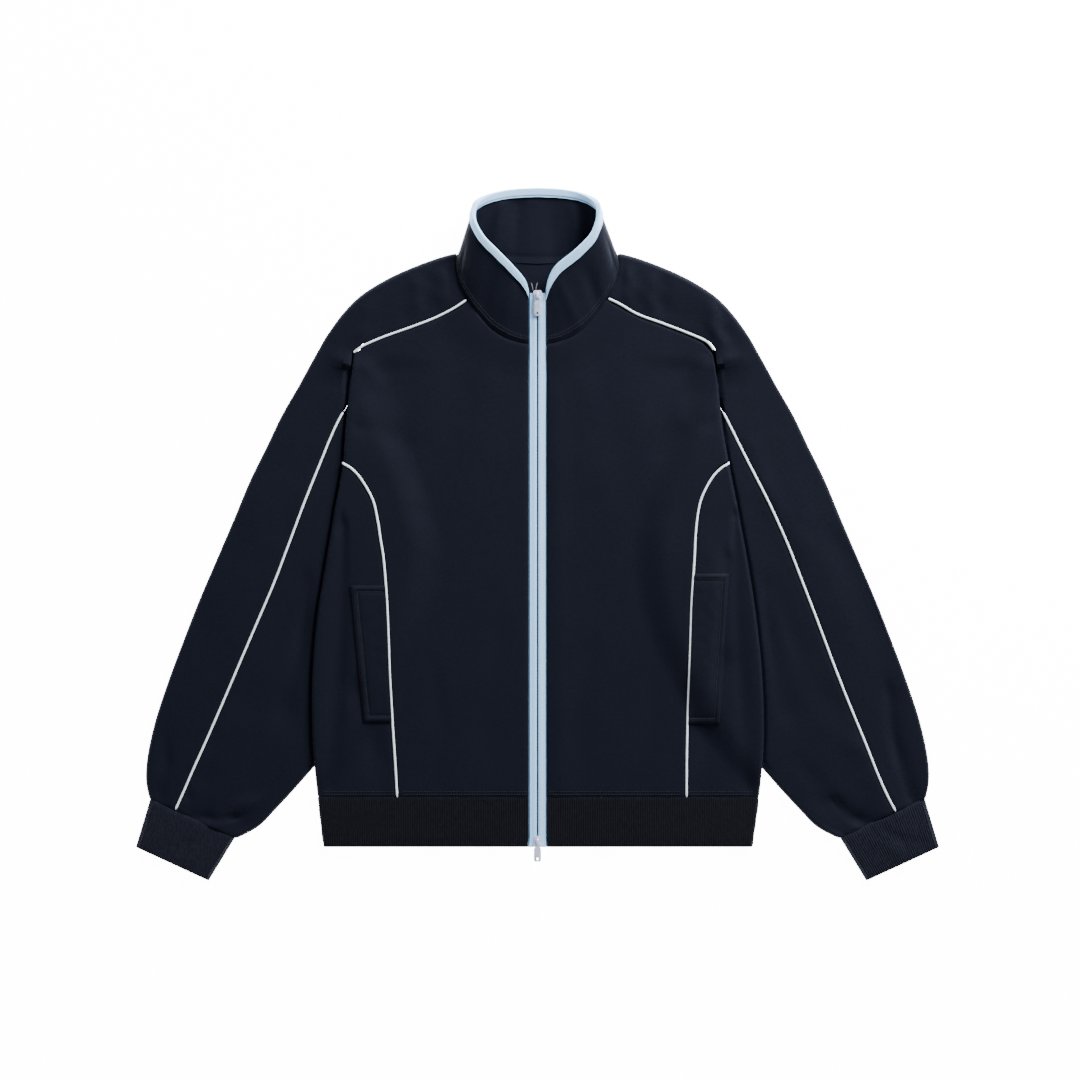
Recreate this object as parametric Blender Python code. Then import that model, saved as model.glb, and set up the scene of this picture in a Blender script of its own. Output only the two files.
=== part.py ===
"""A zip-up sweatshirt laid flat on its back, modelled as its cut and sewn pieces.

Metres, +Z up. The collar points along +Y, the zip runs down the line X = 0, and the
garment's underside rests on Z = 0. SIDE -1 is the side at -X ("left" in the names).
Every cloth piece is a wall: a grid of outer points and the same grid moved in by the
cloth's thickness, closed along its edges.
"""
import math

import bpy
import bmesh
from mathutils import Vector

# ---------------------------------------------------------------- driving sizes
CLOTH = 0.0020            # sweatshirt fabric
COLLAR_WALL = 0.0026      # doubled fabric
BINDING_WALL = 0.0010
GAP = 0.0003              # between sewn pieces
LAID = 0.0078             # height of a laid double layer, outside to outside
TUCK = 0.0066             # lift of the body where it lies on a sleeve
TUCK_SHOULDER = 0.0052    # the same beside the shoulder
TUCK_END_Y = 0.2070
TUCK_RAMP = 0.040         # width over which the body rises onto the sleeve
HEM_SEAM_Y = -0.3000
HEM_BOTTOM_Y = -0.3570
UNDERARM_Y = 0.0420
CORNER_Y = 0.2050         # where the saddle seam reaches the body's side
FOLD_END_Y = 0.1850       # above this the front's side edge is a plain seam
TAPE_IN = 0.0006
TAPE_OUT = 0.0092
TAPE_FLANGE = 0.0165
FRONT_EDGE = 0.0104       # front panels start beside the zip tape
ZIP_TOP_Y = 0.2740
TAPE_WALL = 0.0011
RIB_PITCH = 0.0031
RIB_DEPTH = 0.0006
PIPING = 0.0026           # piping cord diameter
PIPING_SINK = 0.0002      # its middle lies this far under the cloth's face
LOWER_SLIDER_Y = -0.3505
UPPER_SLIDER_Y = 0.2710

SIDES = {"left": -1, "right": 1}

# Body side fold, from the hem up: half width at each height.
BODY_EDGE = [
    {"y": -0.357, "left": 0.2445, "right": 0.2455},
    {"y": -0.300, "left": 0.2510, "right": 0.2530},
    {"y": -0.235, "left": 0.2560, "right": 0.2575},
    {"y": -0.165, "left": 0.2565, "right": 0.2560},
    {"y": -0.098, "left": 0.2515, "right": 0.2495},
    {"y": -0.035, "left": 0.2415, "right": 0.2400},
    {"y": 0.0275, "left": 0.2310, "right": 0.2285},
    {"y": 0.0810, "left": 0.2215, "right": 0.2180},
    {"y": 0.1185, "left": 0.2190, "right": 0.2115},
    {"y": 0.1530, "left": 0.2160, "right": 0.2075},
    {"y": 0.1915, "left": 0.2125, "right": 0.2040},
    {"y": 0.2075, "left": 0.2110, "right": 0.2010},
]

# Sleeve sections from the cuff seam to the armhole: outer fold, front seam, inner fold.
SLEEVE = [
    {"outer": (0.4430, -0.3020), "left": (0.4130, -0.3145),
     "right": (0.4085, -0.3165), "inner": (0.3435, -0.3475)},
    {"outer": (0.4470, -0.2805), "left": (0.4030, -0.2925),
     "right": (0.3975, -0.2955), "inner": (0.3185, -0.3340)},
    {"outer": (0.4450, -0.2520), "left": (0.3940, -0.2715),
     "right": (0.3870, -0.2715), "inner": (0.2990, -0.3145)},
    {"outer": (0.4360, -0.2120), "left": (0.3780, -0.2360),
     "right": (0.3730, -0.2360), "inner": (0.2710, -0.2840)},
    {"outer": (0.4210, -0.1665), "left": (0.3590, -0.1925),
     "right": (0.3550, -0.1925), "inner": (0.2365, -0.2430)},
    {"outer": (0.4040, -0.1210), "left": (0.3400, -0.1480),
     "right": (0.3375, -0.1480), "inner": (0.2080, -0.1995)},
    {"outer": (0.3860, -0.0750), "left": (0.3205, -0.1025),
     "right": (0.3205, -0.1025), "inner": (0.1840, -0.1560)},
    {"outer": (0.3665, -0.0295), "left": (0.3010, -0.0570),
     "right": (0.3030, -0.0570), "inner": (0.1645, -0.1115)},
    {"outer": (0.3470, 0.0160), "left": (0.2835, -0.0110),
     "right": (0.2850, -0.0110), "inner": (0.1520, -0.0660)},
    {"outer": (0.3280, 0.0615), "left": (0.2660, 0.0355),
     "right": (0.2640, 0.0355), "inner": (0.1475, -0.0250)},
    {"outer": (0.3095, 0.0990), "left": (0.2480, 0.0805),
     "right": (0.2410, 0.0805), "inner": (0.1500, 0.0025)},
    {"outer": (0.2925, 0.1345), "left": (0.2295, 0.1245),
     "right": (0.2190, 0.1245), "inner": (0.1575, 0.0250)},
    {"outer": (0.2730, 0.1685), "left": (0.2090, 0.1600),
     "right": (0.2010, 0.1600), "inner": (0.1615, 0.0425)},
]

# Saddle sections from the body's side to the collar: outer fold, front seam, back seam,
# and how far the section bows towards the sleeve.
SADDLE = [
    {"outer": (0.2580, 0.1960), "left": (0.2110, 0.1870),
     "right": (0.2035, 0.1870), "back": (0.2080, 0.1850), "bow": 0.000},
    {"outer": (0.2420, 0.2245), "left": (0.2095, 0.2070),
     "right": (0.2010, 0.2100), "back": (0.2060, 0.2075), "bow": 0.000},
    {"outer": (0.2240, 0.2495), "left": (0.1980, 0.2150),
     "right": (0.1920, 0.2200), "back": (0.1930, 0.2255), "bow": 0.000},
    {"outer": (0.2025, 0.2715), "left": (0.1750, 0.2250),
     "right": (0.1695, 0.2300), "back": (0.1705, 0.2415), "bow": 0.001},
    {"outer": (0.1725, 0.2905), "left": (0.1455, 0.2355),
     "right": (0.1420, 0.2405), "back": (0.1430, 0.2610), "bow": 0.003},
    {"outer": (0.1420, 0.3045), "left": (0.1180, 0.2460),
     "right": (0.1145, 0.2505), "back": (0.1155, 0.2795), "bow": 0.006},
    {"outer": (0.1135, 0.3150), "left": (0.0950, 0.2575),
     "right": (0.0940, 0.2620), "back": (0.0905, 0.3010), "bow": 0.007},
    {"outer": (0.0950, 0.3200), "left": (0.0805, 0.2672),
     "right": (0.0800, 0.2687), "back": (0.0700, 0.3185), "bow": 0.0075},
]

# Curved front seam between the centre front and the side panel, from the hem up.
SIDE_SEAM = [
    {"y": -0.3000, "left": 0.1600, "right": 0.1700},
    {"y": -0.2575, "left": 0.1625, "right": 0.1702},
    {"y": -0.2120, "left": 0.1655, "right": 0.1710},
    {"y": -0.1665, "left": 0.1680, "right": 0.1725},
    {"y": -0.1210, "left": 0.1695, "right": 0.1740},
    {"y": -0.0750, "left": 0.1715, "right": 0.1755},
    {"y": -0.0295, "left": 0.1750, "right": 0.1785},
    {"y": -0.0070, "left": 0.1785, "right": 0.1795},
    {"y": 0.0160, "left": 0.1820, "right": 0.1815},
    {"y": 0.0390, "left": 0.1875, "right": 0.1860},
    {"y": 0.0615, "left": 0.2000, "right": 0.1970},
    {"y": 0.0740, "left": 0.2110, "right": 0.2080},
]

# Neck seam of the fronts, from the zip out to the saddle seam.
NECK_FRONT = [
    {"x": 0.0104, "y": 0.2165},
    {"x": 0.0220, "y": 0.2185},
    {"x": 0.0380, "y": 0.2240},
    {"x": 0.0540, "y": 0.2350},
    {"x": 0.0680, "y": 0.2510},
    {"x": 0.0785, "y": 0.2665},
]

# Where the side seam behind lies, from the hem up to the underarm.
BACK_SEAM = [
    {"y": -0.300, "x": 0.2250},
    {"y": -0.200, "x": 0.2250},
    {"y": -0.100, "x": 0.2100},
    {"y": -0.020, "x": 0.1850},
    {"y": 0.0420, "x": 0.1612},
]

# Stand collar from the zip round to the middle of the back: neck seam, and the rim of
# the left and the right half.
COLLAR = [
    {"seam": (0.0104, 0.2170, 0.0092), "left": (0.0104, 0.2760, 0.0190),
     "right": (0.0104, 0.2760, 0.0190), "bulge": 0.000},
    {"seam": (0.0300, 0.2215, 0.0100), "left": (0.0145, 0.2875, 0.0225),
     "right": (0.0125, 0.2885, 0.0225), "bulge": 0.001},
    {"seam": (0.0525, 0.2345, 0.0108), "left": (0.0270, 0.3020, 0.0260),
     "right": (0.0215, 0.3035, 0.0260), "bulge": 0.002},
    {"seam": (0.0690, 0.2525, 0.0115), "left": (0.0450, 0.3200, 0.0295),
     "right": (0.0415, 0.3195, 0.0295), "bulge": 0.003},
    {"seam": (0.0795, 0.2690, 0.0120), "left": (0.0605, 0.3355, 0.0320),
     "right": (0.0590, 0.3365, 0.0320), "bulge": 0.004},
    {"seam": (0.0885, 0.2850, 0.0120), "left": (0.0700, 0.3510, 0.0325),
     "right": (0.0665, 0.3510, 0.0325), "bulge": 0.003},
    {"seam": (0.0930, 0.3020, 0.0105), "left": (0.0735, 0.3640, 0.0300),
     "right": (0.0700, 0.3640, 0.0300), "bulge": 0.001},
    {"seam": (0.0905, 0.3170, 0.0070), "left": (0.0710, 0.3760, 0.0240),
     "right": (0.0685, 0.3760, 0.0240), "bulge": 0.000},
    {"seam": (0.0790, 0.3225, 0.0020), "left": (0.0605, 0.3840, 0.0140),
     "right": (0.0595, 0.3840, 0.0140), "bulge": 0.000},
    {"seam": (0.0580, 0.3180, 0.0000), "left": (0.0440, 0.3895, 0.0070),
     "right": (0.0440, 0.3895, 0.0070), "bulge": 0.000},
    {"seam": (0.0300, 0.3110, 0.0000), "left": (0.0230, 0.3925, 0.0042),
     "right": (0.0230, 0.3925, 0.0042), "bulge": 0.000},
    {"seam": (0.0000, 0.3090, 0.0000), "left": (0.0000, 0.3935, 0.0036),
     "right": (0.0000, 0.3935, 0.0036), "bulge": 0.000},
]

CUFF = {
    "seam_outer": (0.4424, -0.3030), "seam_inner": (0.3456, -0.3473),
    "end_outer": (0.4585, -0.3570), "end_inner": (0.3750, -0.3955),
}

# Largest soft folds of the laid body and sleeves: a ridge (+) or trough (-) along a line.
BODY_FOLDS = [
    {"side": "right", "start": (0.234, -0.02), "end": (0.236, -0.26), "width": 0.016, "depth": -0.0012},
    {"side": "left", "start": (0.224, -0.05), "end": (0.236, -0.24), "width": 0.016, "depth": -0.0012},
    {"side": "right", "start": (0.022, 0.15), "end": (0.026, -0.27), "width": 0.012, "depth": 0.0010},
    {"side": "left", "start": (0.120, 0.16), "end": (0.150, 0.02), "width": 0.022, "depth": 0.0010},
    {"side": "right", "start": (0.115, 0.12), "end": (0.150, -0.02), "width": 0.022, "depth": 0.0010},
]
SLEEVE_FOLDS = [
    {"side": "right", "start": (0.402, -0.19), "end": (0.424, -0.295),
     "width": 0.012, "depth": -0.0014},
    {"side": "right", "start": (0.335, -0.31), "end": (0.372, -0.325),
     "width": 0.012, "depth": -0.0014},
    {"side": "left", "start": (0.350, -0.325), "end": (0.372, -0.322),
     "width": 0.012, "depth": -0.0014},
    {"side": "right", "start": (0.300, 0.02), "end": (0.345, -0.09), "width": 0.022, "depth": 0.0012},
    {"side": "left", "start": (0.305, 0.02), "end": (0.350, -0.09), "width": 0.022, "depth": 0.0012},
    {"side": "right", "start": (0.118, 0.300), "end": (0.112, 0.266), "width": 0.010, "depth": 0.0016},
    {"side": "left", "start": (0.122, 0.298), "end": (0.120, 0.262), "width": 0.010, "depth": 0.0014},
    {"side": "right", "start": (0.205, 0.262), "end": (0.212, 0.215), "width": 0.014, "depth": 0.0014},
]

# Outer edge of the pocket welts, and the heights between which each welt runs.
WELT_EDGE = [
    {"y": -0.2180, "left": 0.1975, "right": 0.2075},
    {"y": -0.0465, "left": 0.2140, "right": 0.2180},
]
WELT_ENDS = {"left": (-0.2145, -0.0585), "right": (-0.2165, -0.0450)}
WELT_T = 0.28             # share of the side panel's girth under the welt
WELT_WALL = 0.0016

NAVY = (0.0080, 0.0104, 0.0196, 1.0)
RIB_NAVY = (0.0105, 0.0110, 0.0185, 1.0)
PALE_BLUE = (0.52, 0.67, 0.85, 1.0)
PIPING_BLUE = (0.72, 0.82, 0.90, 1.0)
METAL = (0.62, 0.61, 0.70, 1.0)


# ---------------------------------------------------------------- small helpers
def smooth(t):
    """Ease from 0 to 1."""
    t = min(max(t, 0.0), 1.0)
    return t * t * (3.0 - 2.0 * t)


def mix(a, b, t):
    """Straight blend of two numbers or two points."""
    if isinstance(a, (int, float)):
        return a + (b - a) * t
    return tuple(p + (q - p) * t for p, q in zip(a, b))


def spline(values, t):
    """Smooth curve through evenly spaced values, t from 0 to 1."""
    last = len(values) - 1
    i = min(int(t * last), last - 1)
    f = t * last - i
    before, after = values[max(i - 1, 0)], values[min(i + 2, last)]
    here, there = values[i], values[i + 1]
    if isinstance(here, (int, float)):
        return hermite(before, here, there, after, f)
    return tuple(hermite(*column, f) for column in zip(before, here, there, after))


def hermite(before, here, there, after, f):
    slope_a, slope_b = (there - before) / 2, (after - here) / 2
    f2, f3 = f * f, f * f * f
    return ((2 * f3 - 3 * f2 + 1) * here + (f3 - 2 * f2 + f) * slope_a
            + (3 * f2 - 2 * f3) * there + (f3 - f2) * slope_b)


def lookup(rows, key, at, value):
    """Column `value` of a table at a place in its rising column `key`."""
    places = [row[key] for row in rows]
    at = min(max(at, places[0]), places[-1])
    i = 0
    while i < len(rows) - 2 and at > places[i + 1]:
        i += 1
    f = (at - places[i]) / (places[i + 1] - places[i])
    before = rows[max(i - 1, 0)][value]
    after = rows[min(i + 2, len(rows) - 1)][value]
    here, there = rows[i][value], rows[i + 1][value]
    gap = places[i + 1] - places[i]
    low = places[max(i - 1, 0)]
    high = places[min(i + 2, len(rows) - 1)]
    slope_a = (there - before) / (places[i + 1] - low) * gap
    slope_b = (after - here) / (high - places[i]) * gap
    f2, f3 = f * f, f * f * f
    return ((2 * f3 - 3 * f2 + 1) * here + (f3 - 2 * f2 + f) * slope_a
            + (3 * f2 - 2 * f3) * there + (f3 - f2) * slope_b)


def spread(count, low=0.0, high=1.0):
    """Evenly spaced numbers."""
    return [low + (high - low) * i / (count - 1) for i in range(count)]


# ---------------------------------------------------------------- the laid form
def folds(table, side, x, y):
    """Height of the large soft folds at a plan point."""
    total = 0.0
    for fold in table:
        if fold["side"] != side:
            continue
        (ax, ay), (bx, by) = fold["start"], fold["end"]
        length = math.hypot(bx - ax, by - ay)
        along = ((x - ax) * (bx - ax) + (y - ay) * (by - ay)) / length
        across = ((x - ax) * (by - ay) - (y - ay) * (bx - ax)) / length
        beyond = max(-along, along - length, 0.0)
        total += fold["depth"] * math.exp(-(across / fold["width"]) ** 2
                                          - (beyond / (2 * fold["width"])) ** 2)
    return total


def body_edge(side, y):
    """Half width of the laid body."""
    return lookup(BODY_EDGE, "y", y, side)


SLEEVE_INNER = [{"y": row["inner"][1], "x": row["inner"][0]} for row in SLEEVE]
SLEEVE_INNER.append({"y": 0.1600, "x": 0.2090})


def tuck(x, y):
    """How high the body's underside lies: up on the sleeve's hidden part, or on the floor."""
    inner = lookup(SLEEVE_INNER, "y", y, "x")
    height = mix(TUCK, TUCK_SHOULDER, smooth((y - 0.08) / 0.08))
    height *= 1.0 - smooth((y - TUCK_END_Y + 0.020) / 0.020)
    return height * smooth((x - inner + TUCK_RAMP) / TUCK_RAMP)


def back_tuck(x, y):
    """The back's own lift, which ends above the underarm, where the back is on the floor."""
    return tuck(x, y) * (1.0 - smooth((y - UNDERARM_Y) / 0.045))


def laid_height(y):
    """Outside to outside height of the body's two layers."""
    return mix(LAID, 0.0056, smooth((y - 0.12) / 0.07))


def neck_rise(x, y):
    """The fronts rise a little towards the neck seam."""
    reach = math.hypot(x * 0.92, y - 0.300)
    return 0.0030 * smooth((0.125 - reach) / 0.045)


def body_top(side, x, y):
    """Height of the front's outer face."""
    near_side = smooth((x - 0.10) / 0.08)
    thick = mix(LAID, laid_height(y) + 0.0022 * smooth((y - 0.185) / 0.02), near_side)
    return tuck(x, y) + thick + neck_rise(x, y) + folds(BODY_FOLDS, side, x, y)


def body_point(side, w, y):
    """Outer point of the body at girth distance w from the middle of the front."""
    edge, height = body_edge(side, y), laid_height(y)
    radius = height / 2
    start = edge - radius
    arc = math.pi * radius
    if w <= start:
        return (SIDES[side] * w, y, body_top(side, w, y))
    base = tuck(start, y)
    if w <= start + arc:
        angle = (w - start) / radius
        extra = (body_top(side, start, y) - base - height) * (1 + math.cos(angle)) / 2
        z = base + radius + radius * math.cos(angle) + extra
        return (SIDES[side] * (start + radius * math.sin(angle)), y, z)
    x = start - (w - start - arc)
    return (SIDES[side] * x, y, mix(tuck(x, y), base, smooth((x - start + 0.01) / 0.01)))


def body_inner(side, w, y):
    """The point on the cloth's inner face behind body_point."""
    radius = laid_height(y) / 2
    angle = min(max((w - body_edge(side, y) + radius) / radius, 0.0), math.pi)
    x, _, z = body_point(side, w, y)
    return (x - SIDES[side] * CLOTH * math.sin(angle), y, z - CLOTH * math.cos(angle))


def under_girth(side, x, y):
    """Girth distance of the underside point at half width x."""
    radius = laid_height(y) / 2
    start = body_edge(side, y) - radius
    return start + math.pi * radius + (start - x)


def fold_girth(side, y):
    """Girth distance of the outermost point of the side fold."""
    radius = laid_height(y) / 2
    return body_edge(side, y) - radius + math.pi * radius / 2


# ---------------------------------------------------------------- walls from grids
def normals(grid, flip):
    """Unit normals of a grid of points, by neighbouring differences."""
    rows, columns = len(grid), len(grid[0])
    out = []
    for i in range(rows):
        line = []
        for j in range(columns):
            down, up = grid[max(i - 1, 0)][j], grid[min(i + 1, rows - 1)][j]
            left, right = grid[i][max(j - 1, 0)], grid[i][min(j + 1, columns - 1)]
            normal = (Vector(right) - Vector(left)).cross(Vector(up) - Vector(down))
            line.append(normal.normalized() * (-1 if flip else 1))
        out.append(line)
    return out


def wall(name, outer, thickness, material, flip=False, closed=False, inner=None):
    """A closed wall: the outer grid, the same grid moved inwards, and its edges."""
    rows, columns = len(outer), len(outer[0])
    if inner is None:
        directions = normals(outer, flip)
        if closed:
            wrapped = normals([[line[-1]] + line + [line[0]] for line in outer], flip)
            directions = [line[1:-1] for line in wrapped]
        inner = [[Vector(p) - n * thickness for p, n in zip(line, ns)]
                 for line, ns in zip(outer, directions)]
        inner = [[Vector((p.x, p.y, max(p.z, thickness))) for p in line] for line in inner]
    mesh = bmesh.new()
    faces = []
    tops = [[mesh.verts.new(p) for p in line] for line in outer]
    lows = [[mesh.verts.new(p) for p in line] for line in inner]
    spans = columns if closed else columns - 1
    for i in range(rows - 1):
        for j in range(spans):
            k = (j + 1) % columns
            rising = (tops[i][j].co - tops[i + 1][k].co).length
            falling = (tops[i][k].co - tops[i + 1][j].co).length
            for layer in (tops, lows):
                a, b, c, d = layer[i][j], layer[i][k], layer[i + 1][k], layer[i + 1][j]
                faces += [(a, b, c), (a, c, d)] if rising < falling else [(a, b, d), (b, c, d)]
    for j in range(spans):
        k = (j + 1) % columns
        faces.append((tops[0][j], lows[0][j], lows[0][k], tops[0][k]))
        faces.append((tops[-1][j], tops[-1][k], lows[-1][k], lows[-1][j]))
    if not closed:
        for i in range(rows - 1):
            faces.append((tops[i][0], tops[i + 1][0], lows[i + 1][0], lows[i][0]))
            faces.append((tops[i][-1], lows[i][-1], lows[i + 1][-1], tops[i + 1][-1]))
    for face in faces:
        mesh.faces.new(face)
    bmesh.ops.recalc_face_normals(mesh, faces=mesh.faces[:])
    return add_mesh(name, mesh, material)


def add_mesh(name, mesh, material):
    """Make a named object from a bmesh, shaded smooth but for its sharp edges."""
    data = bpy.data.meshes.new(name)
    mesh.to_mesh(data)
    mesh.free()
    data.shade_smooth()
    data.set_sharp_from_angle(angle=math.radians(40))
    part = bpy.data.objects.new(name, data)
    garment.objects.link(part)
    data.materials.append(material)
    return part


def add_tube(name, points, diameter, material):
    """A cord along a smooth list of points."""
    curve = bpy.data.curves.new(name, "CURVE")
    curve.dimensions = "3D"
    line = curve.splines.new("POLY")
    line.points.add(len(points) - 1)
    for slot, place in zip(line.points, points):
        slot.co = (*place, 1.0)
    curve.bevel_depth = diameter / 2
    curve.bevel_resolution = 2
    curve.use_fill_caps = True
    part = bpy.data.objects.new(name, curve)
    garment.objects.link(part)
    curve.materials.append(material)
    return part


def make_material(name, colour, roughness, metallic=0.0):
    material = bpy.data.materials.new(name)
    material.use_nodes = True
    shader = material.node_tree.nodes["Principled BSDF"]
    shader.inputs["Base Color"].default_value = colour
    shader.inputs["Roughness"].default_value = roughness
    shader.inputs["Metallic"].default_value = metallic
    return material


def patch(bottom, top, left, right, columns, rows):
    """Grid of (w, y) between four edge curves, each a function of 0 to 1."""
    grid = []
    for v in rows:
        line = []
        for u in columns:
            ruled_v = mix(bottom(u), top(u), v)
            ruled_u = mix(left(v), right(v), u)
            low = mix(bottom(0.0), bottom(1.0), u)
            high = mix(top(0.0), top(1.0), u)
            corners = mix(low, high, v)
            line.append(tuple(a + b - c for a, b, c in zip(ruled_v, ruled_u, corners)))
        grid.append(line)
    return grid


# ---------------------------------------------------------------- body panels
def side_seam_girth(side, y):
    """Girth distance of the curved front seam."""
    return lookup(SIDE_SEAM, "y", y, side)


SEAM_TOP_Y = 0.0860       # the curved seam goes round the side fold at this height
FRONT_UNDER = 0.0030      # the front's edge turns this far under above the curved seam
SEAM_SPACE = PIPING / 2 + 1.7 * GAP     # from the seam line to the cloth beside it
SEAM_SHARE = 0.62         # part of the front's outer edge that is the curved seam
NECK_SHARE = 0.42         # part of the front's top edge that is the neck seam
FOLD_WIDTH = 0.0120
SEAM_STEPS = [i / 13 for i in range(12)] + [11.5 / 13, 12 / 13, 12.5 / 13, 1.0]
SLEEVE_STEPS = [i / 12 for i in range(12)] + [11.35 / 12, 11.7 / 12, 1.0]
SADDLE_STEPS = [0.0, 1 / 18, 2 / 18, 1 / 6, 2 / 6, 3 / 6, 4 / 6, 5 / 6, 1.0]


def seam_line(side, v):
    """(w, y) of the curved seam: up the front, then round the side fold."""
    front = [(row[side], row["y"]) for row in SIDE_SEAM]
    fold_y = 0.0805
    end = under_girth(side, body_edge(side, SEAM_TOP_Y) - laid_height(SEAM_TOP_Y) / 2 - 0.003,
                      SEAM_TOP_Y)
    front.append((fold_girth(side, fold_y) - 0.002, fold_y))
    front.append((end, SEAM_TOP_Y))
    return spline(front, v)


def beside_seam(side, v, reach):
    """(w, y) at a distance from the curved seam, positive towards the side panel."""
    w, y = seam_line(side, v)
    low_w, low_y = seam_line(side, max(v - 0.02, 0))
    high_w, high_y = seam_line(side, min(v + 0.02, 1))
    length = math.hypot(high_w - low_w, high_y - low_y)
    across = ((high_y - low_y) / length, -(high_w - low_w) / length)
    return (w + across[0] * reach, max(y + across[1] * reach, HEM_SEAM_Y))


def front_side_line(side, v):
    """(w, y) of the front's outer edge: the curved seam, then the turned edge to the saddle."""
    if v <= SEAM_SHARE:
        along = v / SEAM_SHARE
        return beside_seam(side, along, -SEAM_SPACE * (1 + 0.45 * smooth((along - 0.75) / 0.1)))
    y = mix(SEAM_TOP_Y + SEAM_SPACE, CORNER_Y, (v - SEAM_SHARE) / (1 - SEAM_SHARE))
    turned = under_girth(side, body_edge(side, y) - laid_height(y) / 2 - FRONT_UNDER, y)
    plain = body_edge(side, y) - 0.0012
    return (mix(turned, plain, smooth((y - 0.150) / (FOLD_END_Y - 0.150))), y)


def saddle_line(side, t):
    """Plan point of the front saddle seam from the body's side (0) to the collar (1)."""
    return spline([row[side] for row in SADDLE[1:]], t)


def front_top_line(side, u):
    """(w, y) of the front's top edge: the neck seam, then the saddle seam outwards."""
    if u <= NECK_SHARE:
        return spline([(row["x"], row["y"] - GAP) for row in NECK_FRONT], u / NECK_SHARE)
    along = (u - NECK_SHARE) / (1 - NECK_SHARE)
    x, y = saddle_line(side, 1 - along)
    corner_w = body_edge(side, CORNER_Y) - 0.0012
    below = SEAM_SPACE * (1.2 + 0.6 * smooth((0.12 - x) / 0.04)) * smooth(along / 0.1)
    return mix((x, y - below), (corner_w, CORNER_Y), smooth((u - 0.9) / 0.1))


def build_panel(name, side, places):
    """A body panel over a grid of girth places (w, y)."""
    outer = [[body_point(side, w, y) for w, y in line] for line in places]
    inner = [[body_inner(side, w, y) for w, y in line] for line in places]
    wall(name, outer, CLOTH, navy, inner=inner)


def build_front(side):
    """Centre front: from the zip to the curved seam, and round the side fold above it."""
    columns = spread(6, 0.0, NECK_SHARE)
    columns += [1 - step * (1 - NECK_SHARE) for step in SADDLE_STEPS[::-1][1:]]
    rows = [step * SEAM_SHARE for step in SEAM_STEPS] + spread(7, SEAM_SHARE, 1.0)[1:]
    grid = patch(lambda u: (mix(FRONT_EDGE, front_side_line(side, 0)[0], u), HEM_SEAM_Y),
                 lambda u: front_top_line(side, u),
                 lambda v: (FRONT_EDGE, mix(HEM_SEAM_Y, NECK_FRONT[0]["y"], v)),
                 lambda v: front_side_line(side, v), columns, rows)
    knee_column = len(columns) - 4
    places = []
    for line in grid:
        last, last_y = line[-1]
        knee = min(body_edge(side, last_y) - laid_height(last_y) / 2, last - FOLD_WIDTH)
        stretch = (knee - FRONT_EDGE) / (line[knee_column][0] - FRONT_EDGE)
        row = []
        for j, (w, y) in enumerate(line):
            if j <= knee_column:
                row.append((FRONT_EDGE + (w - FRONT_EDGE) * stretch, y))
            else:
                row.append(mix((knee, line[knee_column][1]), line[-1], (j - knee_column) / 3))
        places.append(row)
    build_panel("front_" + side, side, places)


def side_section(side, v):
    """Girth places (w, y) of the side panel at one station of the curved seam."""
    near = beside_seam(side, v, SEAM_SPACE)
    back_y = mix(HEM_SEAM_Y, UNDERARM_Y, v)
    far = (under_girth(side, lookup(BACK_SEAM, "y", back_y, "x"), back_y), back_y)
    places = []
    for t in spread(4, 0.0, WELT_T) + [0.36] + spread(5, 0.45, 0.7) + spread(4, 0.7, 1.0)[1:]:
        y = mix(near[1], far[1], t)
        radius = laid_height(y) / 2
        start = max(body_edge(side, y) - radius, near[0] + 0.003)
        stop = max(body_edge(side, y) - radius + math.pi * radius, start + 0.004)
        welt = max(lookup(WELT_EDGE, "y", y, side), mix(near[0], start, 0.25))
        welt = min(welt, mix(near[0], start, 0.75))
        if t <= WELT_T:
            w = mix(near[0], welt, t / WELT_T)
        elif t < 0.45:
            w = mix(welt, start, 0.5)
        elif t < 0.7:
            w = mix(start, stop, (t - 0.45) / 0.25)
        else:
            w = mix(stop, far[0], (t - 0.7) / 0.3)
        places.append((w, y))
    return places


def build_side(side):
    """Side panel: from the curved seam, round the side fold, to the seam behind."""
    build_panel("side_" + side, side, [side_section(side, v) for v in SEAM_STEPS])


def back_edge(side, v):
    """Plan point of the back's side: side seam, back armhole, back saddle seam."""
    if v <= 0.5:
        y = mix(HEM_SEAM_Y, UNDERARM_Y, v / 0.5)
        return (lookup(BACK_SEAM, "y", y, "x") - 3 * GAP, y)
    if v <= 0.7:
        start = (lookup(BACK_SEAM, "y", UNDERARM_Y, "x") - 3 * GAP, UNDERARM_Y)
        return mix(start, (SADDLE[0]["back"][0] - 0.0015, 0.1830), (v - 0.5) / 0.2)
    x, y = spline([row["back"] for row in SADDLE], (v - 0.7) / 0.3)
    return (x - 0.0015, y - 0.0012)


def build_back():
    """The back, flat on the floor but for its sides, which lie on the hidden sleeves."""
    rows = spread(11, 0.0, 0.5)[:-1] + spread(5, 0.5, 0.7)[:-1] + spread(8, 0.7, 1.0)
    shares = (0.0, 0.35, 0.7, 1.0)
    outer = []
    for v in rows:
        line = []
        for side in ("left", "right"):
            half = []
            x_edge, y_edge = back_edge(side, v)
            y_middle = mix(HEM_SEAM_Y, COLLAR[-1]["seam"][1] - GAP * 2, v)
            inner = lookup(SLEEVE_INNER, "y", y_edge, "x")
            knee = min(inner - TUCK_RAMP, x_edge - TUCK_RAMP - 0.003)
            places = [knee * share for share in (0.0, 0.5)]
            places += [knee + TUCK_RAMP * share for share in shares] + [x_edge]
            for x in places:
                y = mix(y_middle, y_edge, (x / x_edge) ** 1.5)
                half.append((SIDES[side] * x, y, back_tuck(x, y)))
            line += half[::-1] if side == "left" else half[1:]
        outer.append(line)
    inner = [[(x, y, z + CLOTH) for x, y, z in line] for line in outer]
    wall("back", outer, CLOTH, navy, inner=inner)


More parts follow.
